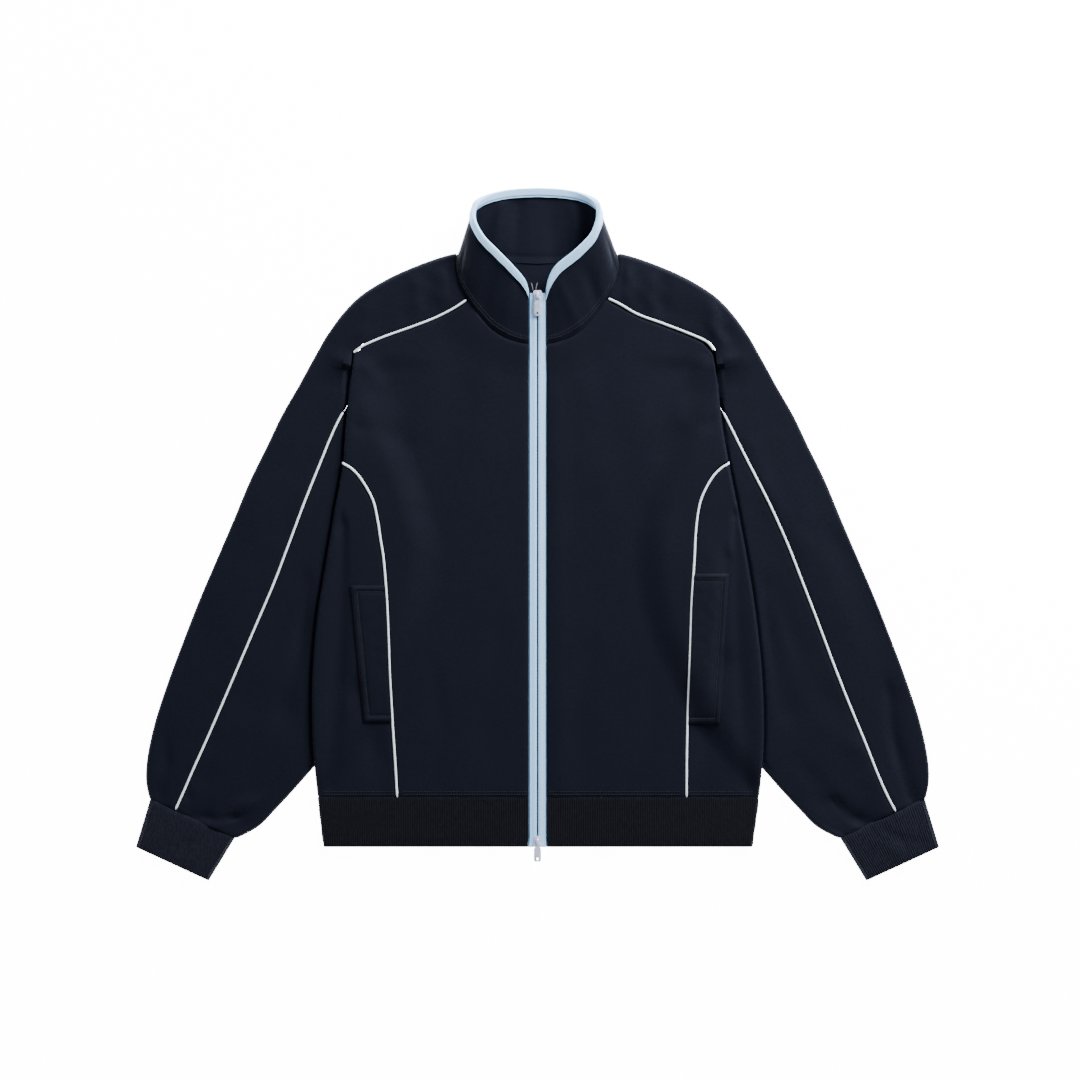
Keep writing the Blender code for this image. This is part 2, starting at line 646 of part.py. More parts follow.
# ---------------------------------------------------------------- sleeves
def sleeve_cover(side, x, y):
    """Highest the sleeve may reach at a plan point, because the body lies on it there."""
    edge = body_edge(side, y)
    if y > 0.2100:
        return 1.0
    room = mix(4 * GAP, 2 * GAP, smooth((y - 0.05) / 0.08))
    hidden = tuck(min(x, edge - laid_height(y) / 2), y) - room
    free = 1.0 - smooth((edge + 0.010 - x) / 0.0105)
    return mix(hidden, 0.0120, free)


def sleeve_row(side, t):
    """One section of the sleeve tube: plan points and heights, t from cuff to armhole."""
    outer = spline([row["outer"] for row in SLEEVE], t)
    inner = spline([row["inner"] for row in SLEEVE], t)
    seam = spline([row[side] for row in SLEEVE], t)
    return outer, seam, inner


def section_point(side, start, end, distance, z):
    """Point at a plan distance from the outer fold, mirrored to its side."""
    length = math.dist(start, end)
    x, y = mix(start, end, distance / length)
    return (SIDES[side] * x, y, z)


def sleeve_top(side, x, y, height):
    z = height + folds(SLEEVE_FOLDS, side, x, y)
    return min(z, sleeve_cover(side, x, y))


def fold_points(side, outer, low_end, seam, height, steps=5):
    """Points round the outer fold, from the underside to the top."""
    radius = height / 2
    points = []
    for t in spread(steps)[1:-1]:
        angle = math.pi * t
        distance = radius - radius * math.sin(angle)
        end = mix(low_end, seam, t)
        points.append(section_point(side, outer, end, distance, radius - radius * math.cos(angle)))
    return points


def upper_section(side, t):
    """Section of the upper sleeve, from under the sleeve round its outer fold to the piping."""
    outer, seam, _ = sleeve_row(side, t)
    length = math.dist(outer, seam)
    radius = LAID / 2
    reach = length - SEAM_SPACE
    points = [section_point(side, outer, seam, distance, 0.0)
              for distance in spread(3, length - GAP / 2, radius)]
    points += fold_points(side, outer, seam, seam, LAID)
    for distance in (radius, mix(radius, reach, 0.4), mix(radius, reach, 0.75), reach - 0.006, reach):
        x, y = mix(outer, seam, distance / length)
        points.append((SIDES[side] * x, y, sleeve_top(side, x, y, LAID)))
    return points


def saddle_row(side, step):
    """Plan points and bow of one saddle section; step 0 is at the body's side, 1 at the collar."""
    rows = SADDLE[1:]
    return (spline([row["outer"] for row in rows], step), spline([row[side] for row in rows], step),
            spline([row["back"] for row in rows], step), spline([row["bow"] for row in rows], step))


def saddle_section(side, row, share):
    """One section over the shoulder, bowed towards the sleeve."""
    edge, seam, back, bow = row
    height = mix(LAID, 0.0105, smooth(share * 2))
    radius = height / 2
    points = [section_point(side, edge, back, distance, 0.0)
              for distance in spread(3, math.dist(edge, back) - GAP, radius)]
    points += fold_points(side, edge, back, seam, height)
    length = math.dist(edge, seam)
    across = ((seam[1] - edge[1]) / length, -(seam[0] - edge[0]) / length)
    if across[0] < 0:
        across = (-across[0], -across[1])
    seam_z = body_top(side, *seam) if share > 0 else sleeve_cover(side, *seam)
    for t in (0.0, 0.35, 0.65, 0.88, 1.0):
        distance = mix(radius, length - SEAM_SPACE, t)
        x, y = mix(edge, seam, distance / length)
        swell = math.sin(math.pi * t)
        x, y = x + across[0] * bow * swell, y + across[1] * bow * swell
        z = mix(height, seam_z, smooth(t)) + folds(SLEEVE_FOLDS, side, x, y) * swell
        points.append((SIDES[side] * x, y, z))
    return points


def build_sleeve_upper(side):
    """Saddle, shoulder and upper sleeve in one piece, from the cuff seam to the collar."""
    outer = [upper_section(side, t) for t in SLEEVE_STEPS]
    first = SADDLE[0]
    outer.append(saddle_section(side, (first["outer"], first[side], first["back"], 0.0), 0.0))
    for step in SADDLE_STEPS:
        outer.append(saddle_section(side, saddle_row(side, step), 0.1 + step))
    wall("sleeve_upper_" + side, outer, CLOTH, navy, side == "right")


def body_crossing(side, seam, inner):
    """Distance from the seam, along a section, at which the body's side fold lies over it."""
    length = math.dist(seam, inner)
    for distance in spread(120, 0.0, length):
        x, y = mix(seam, inner, distance / length)
        if x <= body_edge(side, y) and y > HEM_BOTTOM_Y:
            return distance
    return length


def build_sleeve_under(side):
    """Under sleeve: from the piped seam round the inner fold to the seam behind."""
    outer, inner_wall = [], []
    for t in SLEEVE_STEPS:
        _, seam, inner = sleeve_row(side, t)
        length = math.dist(seam, inner)
        inner_height = min(LAID, sleeve_cover(side, *inner))
        radius = inner_height / 2
        stop = length - radius
        dip = min(max(body_crossing(side, seam, inner) - 0.012, SEAM_SPACE + 0.004), stop - 0.016)
        places = [SEAM_SPACE, mix(SEAM_SPACE, dip, 0.5), dip, dip + 0.004, dip + 0.008,
                  dip + 0.0125, mix(dip + 0.0125, stop, 0.5), stop]
        out_line, in_line = [], []

        def add(line, distance, z):
            x, y = mix(seam, inner, distance / length)
            line.append((SIDES[side] * x, y, z))

        for distance in places:
            x, y = mix(seam, inner, distance / length)
            z = inner_height if distance == stop else sleeve_top(side, x, y, LAID)
            add(out_line, distance, z)
            add(in_line, distance, z - CLOTH)
        hole = radius - CLOTH
        for s in spread(5)[1:-1]:
            angle = math.pi * s
            add(out_line, stop + radius * math.sin(angle), radius + radius * math.cos(angle))
            add(in_line, stop + hole * math.sin(angle), radius + hole * math.cos(angle))
        for distance in spread(3, stop, GAP / 2):
            add(out_line, distance, 0.0)
            add(in_line, distance, CLOTH)
        outer.append(out_line)
        inner_wall.append(in_line)
    wall("sleeve_under_" + side, outer, CLOTH, navy, inner=inner_wall)


# ---------------------------------------------------------------- rib bands
def rib_offset(place):
    """Height of the rib at a distance along the band: 0 or the rib's depth."""
    return RIB_DEPTH if int(round(place)) % 2 else 0.0


def build_hem():
    """One rib band from the zip round both side folds and across the back."""
    outer, inner = [], []
    for y in (HEM_BOTTOM_Y, HEM_SEAM_Y - 2 * GAP):
        out_line, in_line = [], []
        for side in ("left", "right"):
            out_half, in_half = hem_half(side, y)
            if side == "right":
                out_half, in_half = out_half[::-1][1:], in_half[::-1][1:]
            out_line += out_half
            in_line += in_half
        outer.append(out_line)
        inner.append(in_line)
    wall("hem_rib", outer, CLOTH, rib_navy, inner=inner)


def hem_half(side, y):
    """Outer and inner points of half the band, from the zip to the middle of the back."""
    start = body_edge(side, y) - LAID / 2
    count = 2 * int((0.2400 - FRONT_EDGE) / RIB_PITCH)
    out_line, in_line = [], []
    for i, w in enumerate(spread(count + 1, FRONT_EDGE + zip_spread(y), start)):
        z = LAID - RIB_DEPTH
        out_line.append((SIDES[side] * w, y, z + rib_offset(i)))
        in_line.append((SIDES[side] * w, y, z - CLOTH))
    small = LAID / 2 - RIB_DEPTH / 2
    for t in spread(7)[1:]:
        angle = math.pi * t
        out_line.append((SIDES[side] * (start + small * math.sin(angle)), y,
                         small + small * math.cos(angle)))
        hole = small - CLOTH
        in_line.append((SIDES[side] * (start + hole * math.sin(angle)), y,
                        small + hole * math.cos(angle)))
    for x in (start * 0.5, 0.0):
        out_line.append((SIDES[side] * x, y, 0.0))
        in_line.append((SIDES[side] * x, y, CLOTH))
    return out_line, in_line


def build_cuff(side):
    """Rib tube, ribs raised along the sleeve on its upper face."""
    outer, inner = [], []
    for end in ("end", "seam"):
        a, b = CUFF[end + "_outer"], CUFF[end + "_inner"]
        length = math.dist(a, b)
        count = 2 * int(0.0860 / RIB_PITCH)
        height = LAID - RIB_DEPTH
        radius = height / 2
        hole = radius - CLOTH
        out_line, in_line = [], []

        def add(line, distance, z):
            x, y = mix(a, b, distance / length)
            line.append((SIDES[side] * x, y, z))

        for i, distance in enumerate(spread(count + 1, radius, length - radius)):
            add(out_line, distance, height + rib_offset(i))
            add(in_line, distance, height - CLOTH)
        for t in spread(6)[1:]:
            angle = math.pi * t
            add(out_line, length - radius + radius * math.sin(angle), radius + radius * math.cos(angle))
            add(in_line, length - radius + hole * math.sin(angle), radius + hole * math.cos(angle))
        for t in spread(6)[:-1]:
            angle = math.pi * (1 - t)
            add(out_line, radius - radius * math.sin(angle), radius + radius * math.cos(angle))
            add(in_line, radius - hole * math.sin(angle), radius + hole * math.cos(angle))
        outer.append(out_line)
        inner.append(in_line)
    wall("cuff_" + side, outer, CLOTH, rib_navy, closed=True, inner=inner)


# ---------------------------------------------------------------- collar
def collar_frame(t):
    """Seam point, rim point and bulge, t from -1 (left zip edge) over 0 (back) to 1."""
    side = "left" if t < 0 else "right"
    sign, place = SIDES[side], 1 - abs(t)
    seam = spline([row["seam"] for row in COLLAR], place)
    rim = spline([row[side] for row in COLLAR], place)
    bulge = spline([row["bulge"] for row in COLLAR], place)
    return (Vector((sign * seam[0], seam[1], max(seam[2], 0.0))),
            Vector((sign * rim[0], rim[1], rim[2])), bulge)


def collar_point(t, v):
    """Outer point of the collar, v from 0 at the neck seam to 1 at the rim."""
    seam, rim, bulge = collar_frame(t)
    place = seam.lerp(rim, v)
    outward = Vector((place.x, (place.y - 0.300) * 0.3, 0.02)).normalized()
    return place + outward * bulge * math.sin(math.pi * v)


def collar_normal(t, v):
    """Outward normal of the collar and the direction towards its rim."""
    step = 0.004
    across = collar_point(min(t + step, 1.0), v) - collar_point(max(t - step, -1.0), v)
    up = collar_point(t, v + 0.01) - collar_point(t, v - 0.01)
    return up.cross(across).normalized(), up.normalized()


COLLAR_STATIONS = [-1.0 + 2.0 * i / 34 for i in range(35)]


def build_collar():
    heights = spread(5, COLLAR_START, 1.0)
    outer = [[collar_point(t, v) for t in COLLAR_STATIONS] for v in heights]
    inner = [[collar_point(t, v) - collar_normal(t, v)[0] * COLLAR_WALL
              for t in COLLAR_STATIONS] for v in heights]
    wall("collar", outer, COLLAR_WALL, navy, inner=inner)


BINDING_WIDTH = 0.0090
COLLAR_START = 0.015      # the collar's wall starts just above the neck seam line


def build_binding():
    """Binding folded over the rim: an outer leg, a rounded edge and an inner leg."""
    near, far = 2.6 * GAP, 2.6 * GAP + BINDING_WALL
    drop = BINDING_WIDTH
    outer_path = [(far, -drop), (far, -drop * 0.4), (far * 0.9, 0.0006), (0.0, far),
                  (-COLLAR_WALL, far), (-COLLAR_WALL - far * 0.9, 0.0006),
                  (-COLLAR_WALL - far, -drop * 0.4), (-COLLAR_WALL - far, -drop)]
    inner_path = [(near, -drop), (near, -drop * 0.4), (near, near * 0.4), (0.0, near),
                  (-COLLAR_WALL, near), (-COLLAR_WALL - near, near * 0.4),
                  (-COLLAR_WALL - near, -drop * 0.4), (-COLLAR_WALL - near, -drop)]

    def line(path, t):
        normal, up = collar_normal(t, 0.99)
        rim = collar_point(t, 1.0)
        points = [rim + normal * across + up * along for across, along in path]
        return [Vector((p.x, p.y, max(p.z, 0.0))) for p in points]

    stations = COLLAR_STATIONS
    outer = [line(outer_path, t) for t in stations]
    inner = [line(inner_path, t) for t in stations]
    wall("collar_binding", outer, BINDING_WALL, pale_blue, inner=inner)


# ---------------------------------------------------------------- zip
ZIP_HEIGHTS = [
    {"y": -0.380, "z": LAID},
    {"y": 0.100, "z": LAID},
    {"y": 0.170, "z": LAID + 0.0006},
    {"y": 0.217, "z": 0.0098},
    {"y": 0.245, "z": 0.0138},
    {"y": 0.276, "z": 0.0190},
]


def zip_height(y):
    return lookup(ZIP_HEIGHTS, "y", y, "z")


def zip_spread(y):
    """The tapes part below the lower slider's reach."""
    return 0.0010 * smooth((-0.3460 - y) / 0.012)


def build_tape(side):
    """Woven tape: its visible strip beside the zip line and its flange under the front."""
    outer, inner = [], []
    for y in spread(15, HEM_BOTTOM_Y, 0.200) + spread(5, 0.214, ZIP_TOP_Y):
        drop = mix(0.0027, 0.0047, smooth((y - 0.195) / 0.018))
        low = drop + TAPE_WALL * 0.8
        profile_top = [(TAPE_IN, 0.0003), (TAPE_OUT - 0.0012, 0.0003), (TAPE_OUT - 0.0004, 0.0008),
                       (TAPE_OUT + 0.0001, drop), (TAPE_FLANGE, drop)]
        profile_low = [(TAPE_IN, 0.0003 + TAPE_WALL), (TAPE_OUT - 0.0020, 0.0003 + TAPE_WALL),
                       (TAPE_OUT - 0.0012, 0.0022), (TAPE_OUT - 0.0008, low), (TAPE_FLANGE, low)]
        shift = zip_spread(y)
        top = zip_height(y)
        outer.append([(SIDES[side] * (x + shift * (x < 0.0095)), y, top - z) for x, z in profile_top])
        inner.append([(SIDES[side] * (x + shift * (x < 0.0095)), y, top - z) for x, z in profile_low])
    wall("zip_tape_" + side, outer, TAPE_WALL, pale_blue, inner=inner)


def build_chain():
    """The closed coil behind the tapes, as one plain strip."""
    half, top, low = 0.0028, 0.0003 + TAPE_WALL + GAP, 0.0031
    outer, inner = [], []
    for y in spread(12, LOWER_SLIDER_Y + 0.006, 0.200) + spread(4, 0.214, UPPER_SLIDER_Y - 0.006):
        z = zip_height(y)
        outer.append([(-half, y, z - top), (half, y, z - top)])
        inner.append([(-half, y, z - low), (half, y, z - low)])
    wall("zip_chain", outer, 0.001, pale_blue, inner=inner)


def add_box(mesh, low, high, bevel=0.0):
    """A box between two corners, its edges bevelled."""
    made = bmesh.ops.create_cube(mesh, size=1.0)["verts"]
    centre = [(a + b) / 2 for a, b in zip(low, high)]
    size = [b - a for a, b in zip(low, high)]
    for vert in made:
        vert.co = Vector([c + v * s for c, v, s in zip(centre, vert.co, size)])
    if bevel:
        edges = {edge for vert in made for edge in vert.link_edges}
        bmesh.ops.bevel(mesh, geom=list(edges), offset=bevel, segments=1, affect="EDGES")


def slider_height(y):
    """Height of a slider's underside, just on the tapes."""
    return zip_height(y)


def build_slider(name, y, slope, up):
    """Slider body on the tapes with a bridge that holds the pull tab."""
    z = slider_height(y)
    body = bmesh.new()
    add_box(body, (-0.0048, -0.0060, 0.0), (0.0048, 0.0060, 0.0010), 0.0003)
    data = bpy.data.meshes.new(name)
    body.to_mesh(data)
    body.free()
    part = bpy.data.objects.new(name, data)
    garment.objects.link(part)
    data.materials.append(metal)
    bridge = bmesh.new()
    add_arch(bridge, BRIDGE)
    helper = bpy.data.meshes.new(name + "_bridge")
    bridge.to_mesh(helper)
    bridge.free()
    cutter = bpy.data.objects.new(name + "_bridge", helper)
    cutters.objects.link(cutter)
    cutter.hide_render = True
    cutter.display_type = "WIRE"
    for thing in (part, cutter):
        thing.location = (0, y, z)
        thing.rotation_euler = (slope, 0, 0 if up else math.pi)
    union = part.modifiers.new("bridge", "BOOLEAN")
    union.operation = "UNION"
    union.solver = "EXACT"
    union.object = cutter
    return part


BRIDGE = {"half_width": 0.0011, "y_low": -0.0040, "y_high": 0.0040, "rise": 0.0034, "wall": 0.0009}


def add_arch(mesh, size):
    """A low arch over the slider, along its own Y."""
    steps = 6
    outside, inside = [], []
    reach = (size["y_high"] - size["y_low"]) / 2
    for t in spread(steps + 1):
        angle = math.pi * t
        outside.append((-reach * math.cos(angle), 0.0008 + size["rise"] * math.sin(angle) ** 0.7))
        inner = reach - size["wall"]
        inside.append((-inner * math.cos(angle),
                       0.0008 + (size["rise"] - size["wall"]) * math.sin(angle) ** 0.7))
    loops = []
    for x in (-size["half_width"], size["half_width"]):
        loops.append(([mesh.verts.new((x, a, b)) for a, b in outside],
                      [mesh.verts.new((x, a, b)) for a, b in inside]))
    (left_out, left_in), (right_out, right_in) = loops
    for i in range(steps):
        mesh.faces.new((left_out[i], left_out[i + 1], right_out[i + 1], right_out[i]))
        mesh.faces.new((left_in[i], right_in[i], right_in[i + 1], left_in[i + 1]))
        mesh.faces.new((left_out[i], left_in[i], left_in[i + 1], left_out[i + 1]))
        mesh.faces.new((right_out[i], right_out[i + 1], right_in[i + 1], right_in[i]))
    mesh.faces.new((left_out[0], right_out[0], right_in[0], left_in[0]))
    mesh.faces.new((left_out[-1], left_in[-1], right_in[-1], right_out[-1]))
    bmesh.ops.recalc_face_normals(mesh, faces=mesh.faces[:])


PULL = {"length": 0.0215, "half_width": 0.0042, "wall": 0.0011, "slot": 0.0017, "slot_length": 0.0029,
        "bar": 0.0005, "hinge_y": -0.0016, "hinge_z": 0.0019, "tilt": math.radians(2.2)}


def build_pull(name, y, slope):
    """Pull tab, hinged on its end bar under the bridge, with a small hole near its end."""
    mesh = bmesh.new()
    size = PULL
    wide, narrow = size["half_width"], size["half_width"] * 0.84
    top, bar = size["bar"], -size["bar"]
    end = -size["length"]
    slot_end = bar - size["slot_length"]
    hole_high, hole_low = end + 0.0048, end + 0.0020
    slot, hole = size["slot"], 0.0010
    rows = [top, bar, slot_end, hole_high, hole_low, end]
    widths = [narrow * 0.9, narrow, narrow, wide, wide, wide * 0.86]
    gaps = [None, slot, slot, hole, hole, None]
    low, high = -size["wall"] / 2, size["wall"] / 2
    grid = []
    for place, width, gap in zip(rows, widths, gaps):
        inner = gap if gap else width * 0.3
        xs = (-width, -inner, inner, width)
        grid.append([[mesh.verts.new((x, place, z)) for x in xs] for z in (low, high)])
    open_cells = {(1, 1), (3, 1)}
    for i in range(len(rows) - 1):
        for j in range(3):
            if (i, j) in open_cells:
                continue
            a, b = grid[i], grid[i + 1]
            for layer in (0, 1):
                mesh.faces.new((a[layer][j], a[layer][j + 1], b[layer][j + 1], b[layer][j]))
            edges = {"up": (i - 1, j), "down": (i + 1, j), "left": (i, j - 1), "right": (i, j + 1)}
            for where, (p, q) in edges.items():
                outside = not (0 <= p < len(rows) - 1 and 0 <= q < 3)
                if not outside and (p, q) not in open_cells:
                    continue
                pair = {"up": ((a, j), (a, j + 1)), "down": ((b, j), (b, j + 1)),
                        "left": ((a, j), (b, j)), "right": ((a, j + 1), (b, j + 1))}[where]
                (first, fj), (second, sj) = pair
                mesh.faces.new((first[0][fj], second[0][sj], second[1][sj], first[1][fj]))
    bmesh.ops.recalc_face_normals(mesh, faces=mesh.faces[:])
    part = add_mesh(name, mesh, metal)
    along, above = size["hinge_y"], size["hinge_z"]
    part.location = (0, y + along * math.cos(slope) - above * math.sin(slope),
                     slider_height(y) + along * math.sin(slope) + above * math.cos(slope))
    part.rotation_euler = (slope + size["tilt"], 0, 0)
    return part


# ---------------------------------------------------------------- pockets and piping
def on_panel(stations, column, y):
    """Point at a height on one of the side panel's own lines."""
    line = [station[column] for station in stations]
    i = sum(1 for point in line[1:-1] if point[1] < y)
    return mix(line[i], line[i + 1], (y - line[i][1]) / (line[i + 1][1] - line[i][1]))


def build_welt(side):
    """Slanted pocket welt, made from the side panel's own points moved out."""
    stations = [[body_point(side, w, y) for w, y in side_section(side, v)[:4]] for v in SEAM_STEPS]
    lines = [[on_panel(stations, column, y) for column in range(4)]
             for y in spread(13, *WELT_ENDS[side])]
    outer = [[lifted(p, GAP * 2.2 + WELT_WALL) for p in line] for line in lines]
    inner = [[lifted(p, GAP * 2.2) for p in line] for line in lines]
    wall("pocket_welt_" + side, outer, WELT_WALL, navy, inner=inner)


def lifted(point, height):
    return (point[0], point[1], point[2] + height)


def build_piping(side):
    """Piping cords lying in the three seams."""
    saddle = []
    for step in SADDLE_STEPS[:-1] + [0.86]:
        x, y = saddle_line(side, step)
        saddle.append((SIDES[side] * x, y, body_top(side, x, y) - PIPING_SINK))
    add_tube("saddle_piping_" + side, saddle, PIPING, piping_blue)
    sleeve = []
    for t in SLEEVE_STEPS[:-2]:
        x, y = sleeve_row(side, t)[1]
        sleeve.append((SIDES[side] * x, y, sleeve_top(side, x, y, LAID) - PIPING_SINK))
    add_tube("sleeve_piping_" + side, sleeve, PIPING, piping_blue)
    front = [lifted(body_point(side, *seam_line(side, t)), -PIPING_SINK) for t in SEAM_STEPS[:12]]
    add_tube("side_piping_" + side, front, PIPING, piping_blue)


# ---------------------------------------------------------------- build
for thing in list(bpy.data.objects):
    bpy.data.objects.remove(thing, do_unlink=True)

garment = bpy.data.collections.new("zip_up_sweatshirt")
cutters = bpy.data.collections.new("cutters")
for collection in (garment, cutters):
    bpy.context.scene.collection.children.link(collection)

navy = make_material("navy_sweatshirt_cloth", NAVY, 0.85)
rib_navy = make_material("navy_rib", RIB_NAVY, 0.9)
pale_blue = make_material("pale_blue_tape", PALE_BLUE, 0.7)
piping_blue = make_material("pale_piping", PIPING_BLUE, 0.6)
metal = make_material("lilac_grey_metal", METAL, 0.35, 0.6)

for side_name in SIDES:
    build_front(side_name)
    build_side(side_name)
    build_sleeve_upper(side_name)
    build_sleeve_under(side_name)
    build_cuff(side_name)
    build_tape(side_name)
    build_welt(side_name)
    build_piping(side_name)
build_back()
build_hem()
build_collar()
build_binding()
build_chain()
SLIDER_SLOPE = math.atan2(zip_height(0.274) - zip_height(0.250), 0.024)
build_slider("slider_upper", UPPER_SLIDER_Y, SLIDER_SLOPE, True)
build_slider("slider_lower", LOWER_SLIDER_Y, 0.0, False)
build_pull("pull_upper", UPPER_SLIDER_Y, SLIDER_SLOPE)
build_pull("pull_lower", LOWER_SLIDER_Y, 0.0)
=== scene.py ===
"""Looks of a zip-up sweatshirt laid flat on its back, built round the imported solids.

Metres, +Z up, in the frame of the solids: the collar points along +Y and the zip runs
down the line X = 0. The form functions repeat those of the solids, so each cloth shell
lies where its solid does, with finer folds, seams and stitches.
"""
import math

import bpy
import bmesh
from mathutils import Matrix, Vector, noise


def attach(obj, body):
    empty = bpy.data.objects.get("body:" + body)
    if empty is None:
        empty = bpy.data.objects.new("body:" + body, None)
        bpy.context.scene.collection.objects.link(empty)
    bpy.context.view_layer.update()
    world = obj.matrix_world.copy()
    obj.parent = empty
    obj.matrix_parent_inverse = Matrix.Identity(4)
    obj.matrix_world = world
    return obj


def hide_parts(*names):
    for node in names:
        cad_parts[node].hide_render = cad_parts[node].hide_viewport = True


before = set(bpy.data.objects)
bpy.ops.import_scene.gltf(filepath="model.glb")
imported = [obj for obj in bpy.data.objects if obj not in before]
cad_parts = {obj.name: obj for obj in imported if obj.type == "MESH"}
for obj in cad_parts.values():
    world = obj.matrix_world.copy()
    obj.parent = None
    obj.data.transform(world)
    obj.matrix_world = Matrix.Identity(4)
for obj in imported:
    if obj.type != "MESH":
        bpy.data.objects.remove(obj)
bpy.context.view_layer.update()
BODY, UPPER_PULL, LOWER_PULL = "garment", "upper_pull", "lower_pull"


def table(keys, *rows):
    """Rows of sizes, each with the named columns."""
    return [dict(zip(keys.split(), row)) for row in rows]


# ---------------------------------------------------------------- driving sizes
CLOTH = 0.0020            # sweatshirt fabric
COLLAR_WALL = 0.0026      # doubled fabric
BINDING_WALL = 0.0010
GAP = 0.0003              # between sewn pieces
BINDING_GAP = 2.6 * GAP   # from the collar to its binding
LAID = 0.0078             # height of a laid double layer, outside to outside
TUCK = 0.0066             # lift of the body where it lies on a sleeve
TUCK_SHOULDER = 0.0052    # the same beside the shoulder
TUCK_END_Y = 0.2070
TUCK_RAMP = 0.040         # width over which the body rises onto the sleeve
HEM_SEAM_Y = -0.3000
HEM_BOTTOM_Y = -0.3570
UNDERARM_Y = 0.0420
CORNER_Y = 0.2050         # where the saddle seam reaches the body's side
FOLD_END_Y = 0.1850       # above this the front's side edge is a plain seam
TAPE_IN = 0.0006
TAPE_OUT = 0.0092
TAPE_FLANGE = 0.0165
FRONT_EDGE = 0.0104       # front panels start beside the zip tape
ZIP_TOP_Y = 0.2740
TAPE_WALL = 0.0011
PIPING = 0.0026           # piping cord diameter
PIPING_SINK = 0.0002      # its middle lies this far under the cloth's face
LOWER_SLIDER_Y = -0.3505
UPPER_SLIDER_Y = 0.2710

SIDES = {"left": -1, "right": 1}

# Body side fold, from the hem up: half width at each height.
BODY_EDGE = table(
    "y left right",
    (-0.357, 0.2445, 0.2455), (-0.3, 0.251, 0.253), (-0.235, 0.256, 0.2575), (-0.165, 0.2565, 0.256),
    (-0.098, 0.2515, 0.2495), (-0.035, 0.2415, 0.24), (0.0275, 0.231, 0.2285), (0.081, 0.2215, 0.218),
    (0.1185, 0.219, 0.2115), (0.153, 0.216, 0.2075), (0.1915, 0.2125, 0.204), (0.2075, 0.211, 0.201),
)

# Sleeve sections from the cuff seam to the armhole: outer fold, front seam, inner fold.
SLEEVE = table(
    "outer left right inner",
    ((0.443, -0.302), (0.413, -0.3145), (0.4085, -0.3165), (0.3435, -0.3475)),
    ((0.447, -0.2805), (0.403, -0.2925), (0.3975, -0.2955), (0.3185, -0.334)),
    ((0.445, -0.252), (0.394, -0.2715), (0.387, -0.2715), (0.299, -0.3145)),
    ((0.436, -0.212), (0.378, -0.236), (0.373, -0.236), (0.271, -0.284)),
    ((0.421, -0.1665), (0.359, -0.1925), (0.355, -0.1925), (0.2365, -0.243)),
    ((0.404, -0.121), (0.34, -0.148), (0.3375, -0.148), (0.208, -0.1995)),
    ((0.386, -0.075), (0.3205, -0.1025), (0.3205, -0.1025), (0.184, -0.156)),
    ((0.3665, -0.0295), (0.301, -0.057), (0.303, -0.057), (0.1645, -0.1115)),
    ((0.347, 0.016), (0.2835, -0.011), (0.285, -0.011), (0.152, -0.066)),
    ((0.328, 0.0615), (0.266, 0.0355), (0.264, 0.0355), (0.1475, -0.025)),
    ((0.3095, 0.099), (0.248, 0.0805), (0.241, 0.0805), (0.15, 0.0025)),
    ((0.2925, 0.1345), (0.2295, 0.1245), (0.219, 0.1245), (0.1575, 0.025)),
    ((0.273, 0.1685), (0.209, 0.16), (0.201, 0.16), (0.1615, 0.0425)),
)

# Saddle sections from the body's side to the collar: outer fold, front seam, back seam,
# and how far the section bows towards the sleeve.
SADDLE = table(
    "outer left right back bow",
    ((0.258, 0.196), (0.211, 0.187), (0.2035, 0.187), (0.208, 0.185), 0.0),
    ((0.242, 0.2245), (0.2095, 0.207), (0.201, 0.21), (0.206, 0.2075), 0.0),
    ((0.224, 0.2495), (0.198, 0.215), (0.192, 0.22), (0.193, 0.2255), 0.0),
    ((0.2025, 0.2715), (0.175, 0.225), (0.1695, 0.23), (0.1705, 0.2415), 0.001),
    ((0.1725, 0.2905), (0.1455, 0.2355), (0.142, 0.2405), (0.143, 0.261), 0.003),
    ((0.142, 0.3045), (0.118, 0.246), (0.1145, 0.2505), (0.1155, 0.2795), 0.006),
    ((0.1135, 0.315), (0.095, 0.2575), (0.094, 0.262), (0.0905, 0.301), 0.007),
    ((0.095, 0.32), (0.0805, 0.2672), (0.08, 0.2687), (0.07, 0.3185), 0.0075),
)

# Curved front seam between the centre front and the side panel, from the hem up.
SIDE_SEAM = table(
    "y left right",
    (-0.3, 0.16, 0.17), (-0.2575, 0.1625, 0.1702), (-0.212, 0.1655, 0.171), (-0.1665, 0.168, 0.1725),
    (-0.121, 0.1695, 0.174), (-0.075, 0.1715, 0.1755), (-0.0295, 0.175, 0.1785), (-0.007, 0.1785, 0.1795),
    (0.016, 0.182, 0.1815), (0.039, 0.1875, 0.186), (0.0615, 0.2, 0.197), (0.074, 0.211, 0.208),
)

# Neck seam of the fronts, from the zip out to the saddle seam.
NECK_FRONT = table(
    "x y",
    (0.0104, 0.2165), (0.022, 0.2185), (0.038, 0.224), (0.054, 0.235), (0.068, 0.251), (0.0785, 0.2665),
)

# Where the side seam behind lies, from the hem up to the underarm.
BACK_SEAM = table(
    "y x",
    (-0.3, 0.225), (-0.2, 0.225), (-0.1, 0.21), (-0.02, 0.185), (0.042, 0.1612),
)

